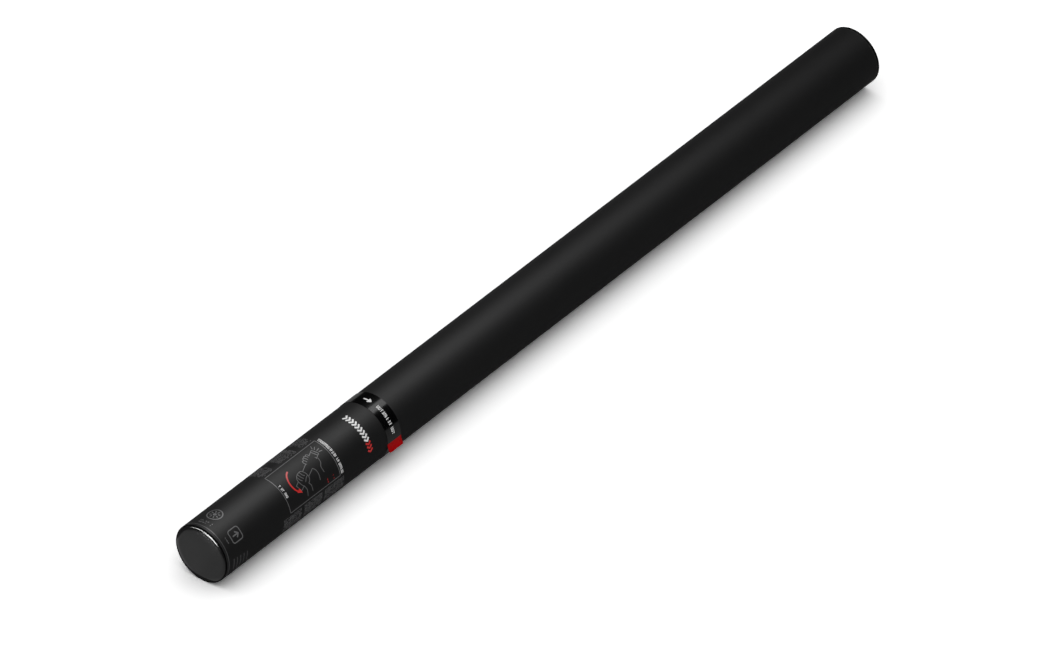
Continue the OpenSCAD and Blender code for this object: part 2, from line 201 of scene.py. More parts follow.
class PopperStageSettings(PropertyGroup):
    """The floor, the lamps and the camera"""

    aim: FloatVectorProperty(
        name="Aim",
        description="Point in the middle of the picture",
        default=(0.38600, -0.00293, -0.01717),
        unit="LENGTH",
    )
    turn: angle("Turn", "Direction of the camera's look, from +X towards +Y", 38.632)
    drop: angle("Drop", "How far the camera looks down", 37.720)
    distance: length("Distance", "Camera to aim", 13.9607, 100)
    lens: number("Lens", "Focal length in millimetres", 625.577, 1)
    floor_size: length("Floor Size", "Side of the floor", 160, 1000)
    dome: number("Dome", "Light that the open floor gets from the sky", 0.88)
    dome_rise: number("Dome Rise", "How much the sky brightens towards the zenith", 1.5)
    floor_white: number("Floor White", "How white the floor shows to the camera", 1.36)
    floor_mirror: number("Floor Mirror", "How white the floor shows in the part's gloss", 0.2)
    top_light: number("Top Light", "Power of the lamp over the grip", 22.0)
    streak: number("Streak", "Power of the softbox that the seal mirrors", 0.8)
    rim_light: number("Rim Light", "Power of the lamp that the base shoulder mirrors", 1.35)
    near_light: number("Near Rim Light", "Power of the lamp for its lower end", 0.3)
    face_light: number("Face Light", "Power of the lamp that the base face mirrors", 0.0078)


def arithmetic(operation, swapped=False):
    """A method of Wire that adds the math node of one of Python's own operators."""

    def method(wire, other):
        return wire.net.math(operation, *((other, wire) if swapped else (wire, other)))

    return method


class Wire:
    """An output of a node. Arithmetic on it adds the nodes that work it out."""

    def __init__(self, net, socket):
        self.net, self.socket = net, socket

    __add__ = arithmetic("ADD")
    __sub__ = arithmetic("SUBTRACT")
    __rsub__ = arithmetic("SUBTRACT", swapped=True)
    __mul__ = arithmetic("MULTIPLY")
    __truediv__ = arithmetic("DIVIDE")
    __rtruediv__ = arithmetic("DIVIDE", swapped=True)
    __lt__ = arithmetic("LESS_THAN")
    __gt__ = arithmetic("GREATER_THAN")

    def remap(self, low, high, to_low=0.0, to_high=1.0):
        return self.net.add("ShaderNodeMapRange", self, low, high, to_low, to_high)


class Net:
    """Adds nodes to a tree, wires them, and hands back their outputs."""

    def __init__(self, tree):
        self.tree = tree

    def plug(self, socket, value):
        if isinstance(value, Wire):
            self.tree.links.new(value.socket, socket)
        else:
            socket.default_value = value

    def add(self, kind, *values, out=0, at=None, **more):
        """Adds a node and hands back an output, or the node itself where out is None.

        The values feed its inputs in order, and at feeds them by number. A keyword with a
        capital feeds the input of that name, with _ for a space. Any other is a setting.
        """
        node = self.tree.nodes.new(kind)
        wires = dict(enumerate(values)) | (at or {})
        for key, value in more.items():
            if key[0].isupper():
                wires[key.replace("_", " ")] = value
            else:
                setattr(node, key, value)
        for key, value in wires.items():
            self.plug(node.inputs[key], value)
        return node if out is None else Wire(self, node.outputs[out])

    def geo(self, kind, *values, **more):
        return self.add("GeometryNode" + kind, *values, **more)

    def named(self, node):
        """A node's outputs by their names, with _ for a space."""
        wires = {socket.name.replace(" ", "_"): Wire(self, socket) for socket in node.outputs}
        return SimpleNamespace(**wires)

    def group(self, name, **wires):
        tree = bpy.data.node_groups[name]
        return self.named(self.add("ShaderNodeGroup", out=None, node_tree=tree, **wires))

    def give(self, **wires):
        """Feeds the outputs of the tree itself."""
        self.add("NodeGroupOutput", out=None, **wires)

    def math(self, operation, *values, clamp=False):
        return self.add("ShaderNodeMath", *values, operation=operation, use_clamp=clamp)

    def vector(self, operation, *values):
        return self.add("ShaderNodeVectorMath", *values, operation=operation)

    def split(self, vector):
        node = self.add("ShaderNodeSeparateXYZ", vector, out=None)
        return [Wire(self, socket) for socket in node.outputs]

    def combine(self, *values):
        return self.add("ShaderNodeCombineXYZ", *values)

    def blend(self, factor, first, second):
        ends = {6: first, 7: second}
        return self.add("ShaderNodeMix", factor, out=2, at=ends, data_type="RGBA")

    def place(self):
        """The piece's own coordinates."""
        return self.add("ShaderNodeTexCoord", out="Object")

    def noise(self, scale, detail, rough, vector=None):
        wires = {"Scale": scale, "Detail": detail, "Roughness": rough}
        return self.add("ShaderNodeTexNoise", Vector=vector or self.place(), **wires)

    def cells(self, scale, vector, feature="F1"):
        return self.add("ShaderNodeTexVoronoi", Scale=scale, Vector=vector, feature=feature)

    def joined(self, shapes):
        node = self.geo("JoinGeometry", out=None)
        for shape in shapes:
            self.plug(node.inputs[0], shape)
        return Wire(self, node.outputs[0])


FLOAT, VECTOR, SHAPE = "NodeSocketFloat", "NodeSocketVector", "NodeSocketGeometry"
WHOLE, STUFF = "NodeSocketInt", "NodeSocketMaterial"


def start_tree(name, takes, *gives):
    """A new node group's net and inputs. takes has the default or the kind of each input."""
    kind = "GeometryNodeTree" if "Geometry" in gives else "ShaderNodeTree"
    tree = bpy.data.node_groups.new(name, kind)
    for label, value in takes.items():
        bare = value in (SHAPE, STUFF)
        socket = value if bare else {float: FLOAT, int: WHOLE, tuple: VECTOR}[type(value)]
        made = tree.interface.new_socket(name=label, in_out="INPUT", socket_type=socket)
        if not bare:
            made.default_value = value
    for label in gives:
        socket = {"Geometry": SHAPE, "Normal": VECTOR}.get(label, FLOAT)
        tree.interface.new_socket(name=label, in_out="OUTPUT", socket_type=socket)
    net = Net(tree)
    return net, net.named(net.add("NodeGroupInput", out=None))


def make_tube_place():
    """Where a point lies on the tube: along it, round it in turns, and out from its axis."""
    net, _ = start_tree("Tube Place", {}, "Along", "Turn", "Radius")
    x, y, z = net.split(net.place())
    squares = net.math("POWER", y, 2.0) + net.math("POWER", z, 2.0)
    turn = net.math("ARCTAN2", z, y) / tau
    net.give(Along=x, Turn=turn, Radius=net.math("SQRT", squares))


def make_grain():
    """Fine even grain, as of paper fibres or an etched mould, and broad clouds."""
    takes = {"Size": 0.0003, "Stretch": (1, 1, 1), "Softness": 0.6}
    net, takes = start_tree("Surface Grain", takes, "Grain", "Cloud")
    place = net.vector("MULTIPLY", net.place(), takes.Stretch)
    fine = net.noise(1.0 / takes.Size, 4.0, takes.Softness, place)
    broad = net.noise(0.02 / takes.Size, 3.0, 0.5, place)
    net.give(Grain=fine, Cloud=broad.remap(0.3, 0.7))


def make_scuffs():
    """Hairline scratches and small rubbed patches: a mask that is mostly black."""
    takes = {"Size": 0.02, "Amount": 0.5, "Direction": (1, 8, 8)}
    net, takes = start_tree("Scuffs", takes, "Scratches", "Rubs")
    place = net.place()
    scale = 1.0 / takes.Size
    drawn = net.vector("MULTIPLY", place, takes.Direction)
    drawn = net.vector("ADD", drawn, net.noise(scale, 2.0, 0.5, place))
    hair = net.cells(scale, drawn, "DISTANCE_TO_EDGE").remap(0.0, 0.02, 1.0, 0.0)
    hair = hair * net.noise(scale, 2.0, 0.5, drawn).remap(0.52, 0.62)
    rub = net.noise(scale * 0.6, 5.0, 0.6, place).remap(0.56, 0.74)
    hair, rub = (net.math("MULTIPLY", mask, takes.Amount, clamp=True) for mask in (hair, rub))
    net.give(Scratches=hair, Rubs=rub)


def make_end_rub():
    """Wear at the two cut ends of a tube, broken up by noise."""
    net, takes = start_tree("End Rub", {"First": 0.0, "Last": 1.0, "Width": 0.0015}, "Rub")
    place = net.place()
    along = net.split(place)[0]
    near = net.math("MINIMUM", along - takes.First, takes.Last - along)
    edge = (near / takes.Width).remap(0.0, 1.0, 1.0, 0.0)
    broken = net.noise(900.0, 4.0, 0.6, place).remap(0.45, 0.65)
    net.give(Rub=net.math("MULTIPLY", edge, broken, clamp=True))


def make_round_shoulder():
    """A base cap's polished band, side, corner and softly turned normal of its shoulder. The corner
    marks the front edge, which the material paints black as painted shade.
    """
    takes = {"Flat Radius": 0.0202, "Edge Radius": 0.025, "Depth": 0.0022, "Polished To": 0.0235}
    net, takes = start_tree("Round Shoulder", takes, "Polish", "Side", "Corner", "Normal")
    deep, y, z = net.split(net.place())
    out = net.group("Tube Place").Radius
    flange = deep < takes.Depth - 0.00005
    wide = takes.Edge_Radius - takes.Flat_Radius
    past = net.math("MAXIMUM", out - takes.Flat_Radius, 0.0)
    # the normal turns as on a quarter of an ellipse, and is turned fully just inside the edge
    sine = net.math("MINIMUM", past / (wide * 0.994), 1.0)
    cosine = net.math("SQRT", 1.0 - sine * sine)
    share = sine / wide / out
    turned = net.combine(cosine / takes.Depth * -1.0, y * share, z * share)
    spaces = {"vector_type": "NORMAL", "convert_from": "OBJECT", "convert_to": "WORLD"}
    turned = net.vector("NORMALIZE", net.add("ShaderNodeVectorTransform", turned, **spaces))
    ends = {4: net.add("ShaderNodeNewGeometry", out="Normal"), 5: turned}
    shoulder = (past > 0.0) * flange
    # the zones give way to each other over a few tenths of a millimetre
    side = (out - takes.Polished_To).remap(0.0, 0.0006) * flange
    net.give(
        Polish=past.remap(0.0, 0.0002) * flange * (1.0 - side),
        Side=side,
        # the corner: the front edge, where the material paints a black line as painted shade of the
        # rounded edge
        Corner=side * deep.remap(0.00025, 0.00045, 1.0, 0.0),
        Normal=net.add("ShaderNodeMix", shoulder, out=1, at=ends, data_type="VECTOR"),
    )


def dim(tone, share):
    return (tone[0] * share, tone[1] * share, tone[2] * share, 1)


class Skin:
    """A material in the making. Its tone and its gloss are built up layer by layer."""

    def __init__(self, name, tone, gloss, **constants):
        self.material = bpy.data.materials.new(name)
        self.material.use_nodes = True
        self.material.diffuse_color = tone
        self.net = Net(self.material.node_tree)
        self.own, self.tone, self.gloss = tone, tone, gloss
        self.feed(Base_Color=tone, Roughness=gloss, **constants)

    def feed(self, **wires):
        """Feeds the shader's inputs, named with _ for a space."""
        shader = self.net.tree.nodes["Principled BSDF"]
        for key, value in wires.items():
            self.net.plug(shader.inputs[key.replace("_", " ")], value)

    def grain(self, **wires):
        return self.net.group("Surface Grain", **wires)

    def scuffs(self, **wires):
        return self.net.group("Scuffs", **wires)

    def mottle(self, mask, low, high):
        """Varies the own tone between two shares of it."""
        self.tone = self.net.blend(mask, dim(self.own, low), dim(self.own, high))

    def tint(self, mask, tone):
        """Lays a tone over the last ones. A plain number is a share of the own tone."""
        tone = dim(self.own, tone) if isinstance(tone, float) else tone
        self.tone = self.net.blend(mask, self.tone, tone)

    def done(self, height, depth, normal=None, **wires):
        """Feeds the shader, with a bump of that depth, and hands back the material."""
        bump = {"Strength": 1.0, "Distance": depth, "Height": height}
        bump |= {"Normal": normal} if normal else {}
        wires["Normal"] = self.net.add("ShaderNodeBump", **bump)
        self.feed(Base_Color=self.tone, Roughness=self.gloss, **wires)
        return self.material


def label_material(name, first, last):
    """Black varnished paper, with a faint fibre, handling marks and rubbed ends."""
    tube = bpy.context.scene.popper_tube
    skin = Skin(name, tube.label, tube.label_gloss, Specular_IOR_Level=0.28)
    grain = skin.grain(Size=0.00045, Stretch=(0.55, 1, 1))
    marks = skin.scuffs(Size=0.030, Amount=0.45, Direction=(0.6, 3, 3))
    rub = skin.net.group("End Rub", First=first, Last=last, Width=0.0011).Rub
    specks = skin.net.noise(900.0, 2.0, 0.6)
    skin.mottle(grain.Grain, 0.8, 1.2)
    skin.tint(grain.Cloud * 0.35, 1.25)
    skin.tint(marks.Scratches * 0.18, (0.045, 0.045, 0.046, 1))
    skin.tint(rub * 0.5, (0.09, 0.088, 0.084, 1))
    skin.gloss = grain.Grain.remap(0.3, 0.7, tube.label_gloss - 0.03, tube.label_gloss + 0.03)
    skin.gloss = skin.gloss - marks.Rubs * 0.10 + marks.Scratches * 0.12
    return skin.done(grain.Grain - marks.Scratches + specks * 4.0, 0.000012)


def ink_material(name, tone):
    """Screen ink on the label: its film, and a few pinholes that let the black through."""
    skin = Skin(name, tone, 0.36)
    grain = skin.grain(Size=0.00022, Softness=0.7)
    skin.tint(grain.Grain.remap(0.28, 0.36, 0.4, 0.0), 0.35)
    skin.gloss = grain.Cloud.remap(0.0, 1.0, 0.32, 0.44)
    return skin.done(grain.Grain, 0.000006)


def board_material():
    """Spiral-wound kraft board: fibres, ply lines on the cut ends and the winding's seam."""
    tube = bpy.context.scene.popper_tube
    skin = Skin("Kraft board", tube.board, 0.86)
    net = skin.net
    place = net.group("Tube Place")
    fibres = skin.grain(Size=0.0012, Stretch=(0.35, 1, 1), Softness=0.7)
    winding = place.Along / tube.board_pitch + place.Turn
    seam = net.math("PINGPONG", winding, 0.5).remap(0.0, 0.006, 1.0, 0.0)
    plies = net.math("PINGPONG", place.Radius / 0.0008, 0.5).remap(0.0, 0.13, 0.55, 0.0)
    facing = net.math("ABSOLUTE", net.split(net.add("ShaderNodeNewGeometry", out="Normal"))[0])
    plies = plies * facing.remap(0.7, 0.9)
    skin.mottle(fibres.Grain, 0.62, 1.3)
    skin.tint(fibres.Cloud * 0.25, 0.8)
    skin.tint(net.math("MAXIMUM", seam, plies), 0.4)
    skin.gloss = fibres.Grain.remap(0.3, 0.7, 0.8, 0.95)
    return skin.done(fibres.Grain - seam * 2.0, 0.00006)


def cap_material():
    """Base cap: a satin face, a polished shoulder, a corner painted black as painted shade, and a
    side like the label's.
    """
    finish = bpy.context.scene.popper_finish
    skin = Skin("Base cap plastic", finish.cap_face, 0.5, Specular_IOR_Level=0.2)
    grain = skin.grain(Size=0.00016, Softness=0.65)
    marks = skin.scuffs(Size=0.012, Direction=(1, 1, 3))
    radii = {"Flat_Radius": finish.cap_flat, "Polished_To": finish.cap_polish}
    shoulder = skin.net.group("Round Shoulder", Edge_Radius=GRIP[2], **radii)
    polish, side = shoulder.Polish, shoulder.Side
    skin.mottle(grain.Grain, 0.85, 1.15)
    skin.tint(marks.Rubs * 0.25, 1.3)
    skin.tint(marks.Scratches * 0.15, (0.05, 0.05, 0.05, 1))
    skin.tint(skin.net.math("ADD", polish, side, clamp=True), finish.cap_rim)
    skin.tint(side, 2.5)
    # painted shade: the front edge is painted near black, and Metallic on it takes its gloss away,
    # standing in for the dark line of the rounded edge
    skin.tint(shoulder.Corner, dim(finish.cap_rim, 0.5))
    skin.gloss = polish.remap(0.0, 1.0, 0.17, 0.11) + side * 0.35
    skin.gloss += grain.Cloud.remap(0.0, 1.0, -0.02, 0.03)
    etched = grain.Grain * (1.0 - polish)
    # Metallic on the painted-shade corner keeps it black under every lamp
    return skin.done(etched, 0.00003, shoulder.Normal, Metallic=shoulder.Corner)


def film_material(name, tone, gloss, **constants):
    """Glossy film of the seal: slack ripples and finger marks."""
    skin = Skin(name, tone, gloss, **constants)
    slack = skin.net.vector("MULTIPLY", skin.net.place(), (1.0, 0.35, 0.35))
    ripples = skin.net.noise(160.0, 2.0, 0.5, slack)
    grain = skin.grain(Size=0.0004)
    marks = skin.scuffs(Size=0.014, Amount=0.6, Direction=(5, 1, 1))
    skin.tint(grain.Cloud * 0.4, 1.25)
    skin.gloss = marks.Rubs * 0.12 + gloss + marks.Scratches * 0.15
    return skin.done(ripples * 4.0 + grain.Grain * 0.12, 0.000012)


def plastic_material(name, tone, gloss, **constants):
    """Moulded plastic: a fine mould grain, flow clouds and light handling marks."""
    skin = Skin(name, tone, gloss, **constants)
    grain = skin.grain(Size=0.0002)
    marks = skin.scuffs(Size=0.01, Direction=(1, 3, 3))
    skin.tint(grain.Cloud * 0.5, 0.88)
    skin.tint(marks.Scratches * 0.4, 0.7)
    skin.gloss = grain.Cloud.remap(0.0, 1.0, gloss - 0.05, gloss + 0.06) + marks.Rubs * 0.1
    return skin.done(grain.Grain, 0.00001)


def metal_material(name, tone, gloss, lay=(1, 1, 1)):
    """Drawn or turned metal: its lay, clouding and small scratches."""
    skin = Skin(name, tone, gloss, Metallic=1.0)
    grain = skin.grain(Stretch=lay, Softness=0.7)
    marks = skin.scuffs(Size=0.008, Amount=0.7, Direction=(1, 4, 4))
    skin.mottle(grain.Grain, 0.84, 1.0)
    skin.tint(marks.Rubs * 0.3, 0.7)
    skin.gloss = grain.Grain.remap(0.3, 0.7, gloss - 0.06, gloss + 0.08) + marks.Scratches * 0.2
    return skin.done(grain.Grain - marks.Scratches, 0.000012)


def foil_material():
    """Crinkled metal foil of the slips."""
    skin = Skin("Silver foil", bpy.context.scene.popper_charge.foil, 0.16, Metallic=0.6)
    place = skin.net.place()
    fine = skin.net.noise(420.0, 4.0, 0.6, place)
    skin.mottle(skin.grain(Size=0.0009, Stretch=(0.3, 1, 1)).Cloud, 0.72, 1.0)
    skin.gloss = fine.remap(0.3, 0.7, 0.16, 0.36)
    return skin.done(skin.net.cells(110.0, place) + fine * 0.35, 0.00035)


def foam_material(name, tone):
    """Closed-cell foam: pits of a cell's size, darker in their hollows and paler on the walls
    between them.
    """
    skin = Skin(name, tone, 0.92)
    place = skin.net.place()
    large = skin.net.cells(520.0, place).remap(0.0, 0.35)
    pits = skin.net.cells(1500.0, place).remap(0.0, 0.6) + large * 0.6
    skin.mottle(pits.remap(0.2, 1.2), 0.66, 1.0)
    skin.tint(skin.grain(Size=0.002).Cloud * 0.2, 0.9)
    skin.gloss = pits.remap(0.0, 1.2, 0.98, 0.85)
    return skin.done(pits, 0.00016)


def card_material():
    """Grey-brown card with long fibres."""
    skin = Skin("Card", bpy.context.scene.popper_charge.card, 0.9)
    fibres = skin.grain(Size=0.0009, Stretch=(1, 1, 0.25), Softness=0.75)
    specks = skin.net.noise(700.0, 2.0, 0.5).remap(0.64, 0.7)
    skin.mottle(fibres.Grain, 0.7, 1.25)
    skin.tint(specks * 0.5, 0.4)
    skin.gloss = fibres.Grain.remap(0.3, 0.7, 0.82, 0.96)
    return skin.done(fibres.Grain, 0.00005)


WRAP = {"Geometry": SHAPE, "Radius": 0.025, "Facing": 0.0, "Film": 0.00002}
PRINT = {**WRAP, "Ink": STUFF}


def make_wrap_on_tube():
    """Gives a flat print its film and bends it round the tube: x runs along it, y up round it."""
    net, takes = start_tree("Wrap On Tube", WRAP, "Geometry")
    film = {"Offset_Scale": takes.Film, "Individual": False, "mode": "FACES"}
    sides = [net.geo("ExtrudeMesh", takes.Geometry, **film), net.geo("FlipFaces", takes.Geometry)]
    whole = net.geo("MergeByDistance", net.joined(sides), Distance=1e-6)
    x, y, z = net.split(net.geo("InputPosition"))
    turn = y / takes.Radius + takes.Facing
    out = net.math("ABSOLUTE", z) + takes.Radius
    side = out * net.math("COSINE", turn) * -1.0
    bent = net.combine(x, side, out * net.math("SINE", turn))
    net.give(Geometry=net.geo("SetPosition", whole, Position=bent))


def finish_print(net, takes, flat):
    """Wraps a flat print and gives it its ink."""
    tree = bpy.data.node_groups["Wrap On Tube"]
    values = (flat, takes.Radius, takes.Facing, takes.Film)
    real = net.geo("RealizeInstances", net.geo("Group", *values, node_tree=tree))
    net.give(Geometry=net.geo("SetMaterial", real, Material=takes.Ink))


def make_printed_lines():
    """Draws each edge chain of a flat mesh as a line of ink on the tube."""
    net, takes = start_tree("Printed Lines", {**PRINT, "Line Width": 0.0005}, "Geometry")
    chain = net.geo("SetCurveNormal", net.geo("MeshToCurve", takes.Geometry), mode="Z_UP")
    half = takes.Line_Width / 2.0
    start, end = net.combine(half * -1.0), net.combine(half)
    nib = net.geo("CurvePrimitiveLine", Start=start, End=end)
    finish_print(net, takes, net.geo("CurveToMesh", chain, Profile_Curve=nib))


def make_printed_patches():
    """Fills the closed chains of a flat mesh with ink, fine enough to bend round the tube."""
    net, takes = start_tree("Printed Patches", {**PRINT, "Fineness": 3}, "Geometry")
    filled = net.geo("FillCurve", net.geo("MeshToCurve", takes.Geometry))
    finish_print(net, takes, net.geo("SubdivideMesh", filled, Level=takes.Fineness))


# strokes of the small print's signs in a cell one wide and one high:
# middle across, middle up, width, height
STROKES = {
    "left": (-0.35, 0.0, 0.3, 1.0),
    "right": (0.35, 0.0, 0.3, 1.0),
    "stem": (0.0, -0.12, 0.3, 0.76),
    "roof": (0.0, 0.4, 1.0, 0.2),
    "top": (0.0, 0.4, 0.36, 0.2),
    "middle": (0.0, 0.02, 0.36, 0.2),
    "foot": (0.0, -0.4, 0.36, 0.2),
}
SIGNS = (
    ("left", "top", "right"),
    ("left", "middle", "foot"),
    ("roof", "stem"),
    ("left", "middle", "right"),
    ("right", "top", "middle", "foot"),
    ("left", "foot", "right"),
    ("left", "top", "middle"),
)


def make_small_print():
    """Rows of made-up signs, one after the other along the tube, each running down round it."""
    takes = {
        **PRINT,
        **{"First Row": 0.0, "Row Pitch": 0.0022, "Rows": 5, "Row Start": 0.0},
        **{"Row Length": 0.014, "Letters": 12, "Letter Height": 0.0012},
        **{"Spaces": 0.12, "Raggedness": 0.3, "Seed": 0},
    }
    net, takes = start_tree("Small Print", takes, "Geometry")
    letters = takes.Letters
    dots = net.geo("MeshLine", Count=takes.Rows * letters)
    index = net.geo("InputIndex")
    row = net.math("FLOOR", (index + 0.5) / letters)
    letter = index - row * letters
    cell = takes.Row_Length / letters
    along = takes.First_Row + row * takes.Row_Pitch
    spot = net.combine(along, takes.Row_Start - (letter + 0.5) * cell)
    dots = net.geo("SetPosition", dots, Position=spot)

    def chance(identity, offset):
        wires = {"ID": identity, "Seed": takes.Seed + offset}
        return net.add("FunctionNodeRandomValue", out=1, data_type="FLOAT", **wires)

    # gaps between words never come first or last, and ragged rows stop early
    inner = letter * (letters - 1.0 - letter)
    gap = (chance(index, 5.0) < takes.Spaces) * (inner > 0.5)
    stop = 1.0 - takes.Raggedness * chance(row, 11.0)
    gone = gap + (letter + 0.5 > letters * stop) > 0.5

    strokes = {}
    for name, (across, up, wide, high) in STROKES.items():
        grid = {"Size_X": high, "Size_Y": wide, "Vertices_X": 2}
        flat = net.geo("MeshGrid", Vertices_Y=4 if wide > 0.3 else 2, **grid)
        strokes[name] = net.geo("Transform", flat, Translation=(up, -across, 0))
    signs = [net.joined(strokes[part] for part in parts) for parts in SIGNS]
    wires = {
        "Instance": net.joined(net.geo("GeometryToInstance", sign) for sign in signs),
        "Pick_Instance": True,
        "Instance_Index": net.math("FLOOR", chance(index, 23.0) * (len(SIGNS) - 0.01)),
        "Scale": net.combine(takes.Letter_Height, cell * 0.8, 1.0),
    }
    print_run = net.geo("InstanceOnPoints", net.geo("MeshToPoints", dots), **wires)
    print_run = net.geo("DeleteGeometry", print_run, Selection=gone, domain="INSTANCE")
    finish_print(net, takes, net.geo("RealizeInstances", print_run))


def make_foil_stacks():
    """Two stacks of slips a layer, each layer turned against the last, each slip bent and askew."""
    takes = {
        **{"Geometry": SHAPE, "First Layer": 0.2476, "Layers": 6, "Layer Pitch": 0.0558},
        **{"Layer Turn": 0.436, "Slips": 30, "Stack Height": 0.024, "Slip Length": 0.055},
        **{"Slip Width": 0.017, "Slip Film": 0.0003, "Stack Gap": 0.0008, "Slack": 0.00018},
        **{"Seed": 3, "Foil": STUFF},
    }
    net, takes = start_tree("Foil Stacks", takes, "Geometry")
    size = net.combine(takes.Slip_Length, takes.Slip_Film, takes.Slip_Width)
    slip = net.geo("MeshCube", Size=size, Vertices_X=7, Vertices_Y=2, Vertices_Z=3)
    slips, tall = takes.Slips, takes.Stack_Height
    per_layer = slips * 2.0
    dots = net.geo("MeshLine", Count=per_layer * takes.Layers)
    index = net.geo("InputIndex")
    layer = net.math("FLOOR", (index + 0.5) / per_layer)
    rest = index - layer * per_layer
    side = rest > slips - 0.5
    high = (rest - side * slips + 0.5) * (tall / slips) - tall / 2.0
    across = (takes.Slip_Width + takes.Stack_Gap) * (side - 0.5)
    jogs = []
    for offset in (0.0, 1.0):
        wires = {"ID": index, "Seed": takes.Seed + offset, "data_type": "FLOAT"}
        ends = {2: takes.Slack * -1.0, 3: takes.Slack}
        jogs.append(net.add("FunctionNodeRandomValue", out=1, at=ends, **wires))
    along = takes.First_Layer + layer * takes.Layer_Pitch + takes.Slip_Length / 2.0
    spot = net.combine(along + jogs[0], high, across + jogs[1])
    roll = layer * takes.Layer_Turn
    turn = {"Vector": spot, "Angle": roll, "rotation_type": "X_AXIS"}
    dots = net.geo("SetPosition", dots, Position=net.add("ShaderNodeVectorRotate", **turn))
    wires = {"Instance": slip, "Rotation": net.combine(roll)}
    pack = net.geo("InstanceOnPoints", net.geo("MeshToPoints", dots), **wires)
    pack = net.geo("RealizeInstances", pack)
    # a slow wave runs through the pack, so that no slip lies flat
    wires = {"Vector": net.geo("InputPosition"), "Scale": 70.0, "Detail": 1.0}
    wave = net.vector("SUBTRACT", net.add("ShaderNodeTexNoise", out=1, **wires), (0.5, 0.5, 0.5))
    wave = net.vector("MULTIPLY", wave, (0.00018, 0.0009, 0.0009))
    pack = net.geo("SetPosition", pack, Offset=wave)
    net.give(Geometry=net.geo("SetMaterial", pack, Material=takes.Foil))


def make_soft_facets():
    """Joins a CAD node's loose triangles in place, and shades its curved faces smooth."""
    net, takes = start_tree("Soft Facets", {"Geometry": SHAPE, "Crease": CREASE}, "Geometry")
    shape = net.geo("MergeByDistance", takes.Geometry, Distance=2e-7)
    soft = net.geo("InputMeshEdgeAngle") < takes.Crease
    for domain, smooth in (("FACE", True), ("EDGE", soft)):
        shape = net.geo("SetShadeSmooth", shape, Shade_Smooth=smooth, domain=domain)
    net.give(Geometry=shape)


def place_object(name, data):
    item = bpy.data.objects.new(name, data)
    bpy.context.scene.collection.objects.link(item)
    return item


def finish_work(name, work, *materials):
    """A piece from a bmesh, its doubles merged, its faces outward and its sharp edges kept."""
    bmesh.ops.remove_doubles(work, verts=work.verts, dist=1e-7)
    bmesh.ops.recalc_face_normals(work, faces=work.faces)
    mesh = bpy.data.meshes.new(name)
    work.to_mesh(mesh)
    work.free()
    for material in materials:
        mesh.materials.append(material)
    mesh.shade_smooth()
    mesh.set_sharp_from_angle(angle=CREASE)
    return place_object(name, mesh)


def grown(tree, values, source=None):
    """Runs a geometry tree on a flat mesh and keeps the result as a plain mesh."""
    group = bpy.data.node_groups[tree]
    source = source or bpy.data.meshes.new("source")
    holder = place_object("source", source)
    modifier = holder.modifiers.new(tree, "NODES")
    modifier.node_group = group
    sockets = [item for item in group.interface.items_tree if item.item_type == "SOCKET"]
    sockets = {item.name: item.identifier for item in sockets if item.in_out == "INPUT"}
    for key, value in values.items():
        modifier[sockets[key]] = value
    holder.update_tag()
    view = bpy.context.evaluated_depsgraph_get()
    mesh = bpy.data.meshes.new_from_object(holder.evaluated_get(view), depsgraph=view)
    bpy.data.objects.remove(holder)
    bpy.data.meshes.remove(source)
    if not mesh.polygons:
        raise RuntimeError(f"{tree} made no faces")
    return mesh


def join_meshes(name, meshes):
    """One piece from several plain meshes, which share their materials by name."""
    work = bmesh.new()
    slots = []
    for mesh in meshes:
        first = len(work.faces)
        work.from_mesh(mesh)
        work.faces.ensure_lookup_table()
        for face in work.faces[first:]:
            material = mesh.materials[face.material_index]
            if material not in slots:
                slots.append(material)
            face.material_index = slots.index(material)
        bpy.data.meshes.remove(mesh)
    return finish_work(name, work, *slots)


def chains(paths, closed, step):
    """A flat mesh of edge chains, each through points in millimetres."""
    verts, edges = [], []
    for points in paths:
        ring = [Vector((x * MM, y * MM, 0)) for x, y in points]
        ring += ring[:1] if closed else []
        first = len(verts)
        for start, end in zip(ring, ring[1:]):
            parts = max(1, ceil((end - start).length / step))
            verts += [tuple(start.lerp(end, i / parts)) for i in range(parts)]
        if not closed:
            verts.append(tuple(ring[-1]))
        last = len(verts)
        edges += [(i, i + 1) for i in range(first, last - 1)]
        if closed:
            edges.append((last - 1, first))
    mesh = bpy.data.meshes.new("chains")
    mesh.from_pydata(verts, edges, [])
    return mesh


# values of the small print's layout, whose lengths are given in millimetres
LAYOUT = ("First Row", "Rows", "Row Pitch", "Row Start", "Row Length", "Letters", "Letter Height")


def ink_run(tree, material, radius, values, source=None):
    """Runs one of the print's trees with its shared values and its own."""
    ink = bpy.context.scene.popper_print
    shared = {"Radius": radius, "Facing": ink.facing, "Film": ink.film, "Ink": material}
    return grown(tree, shared | values, source)


def lines(material, width, *paths, closed=False, radius=GRIP[2]):
    """Lines of ink along paths given in millimetres along the tube and up round it."""
    source = chains(paths, closed, 0.9 * MM)
    return ink_run("Printed Lines", material, radius, {"Line Width": width}, source)


def patch(material, path):
    """A patch of ink inside a closed path."""
    source = chains([path], True, 1.2 * MM)
    return ink_run("Printed Patches", material, GRIP[2], {"Fineness": 2}, source)


def words(material, *layout, ragged=0.0, seed=0, radius=GRIP[2]):
    """Small print from the values that LAYOUT names."""
    values = {"Raggedness": ragged, "Seed": bpy.context.scene.popper_print.seed + seed}
    for key, value in zip(LAYOUT, layout):
        values[key] = value * MM if isinstance(value, float) else value
    return ink_run("Small Print", material, radius, values)


def arc(centre, radius, start, end, steps):
    """Points of an arc, in millimetres and degrees."""
    turns = [radians(start + (end - start) * i / steps) for i in range(steps + 1)]
    return [(centre[0] + radius * cos(t), centre[1] + radius * sin(t)) for t in turns]


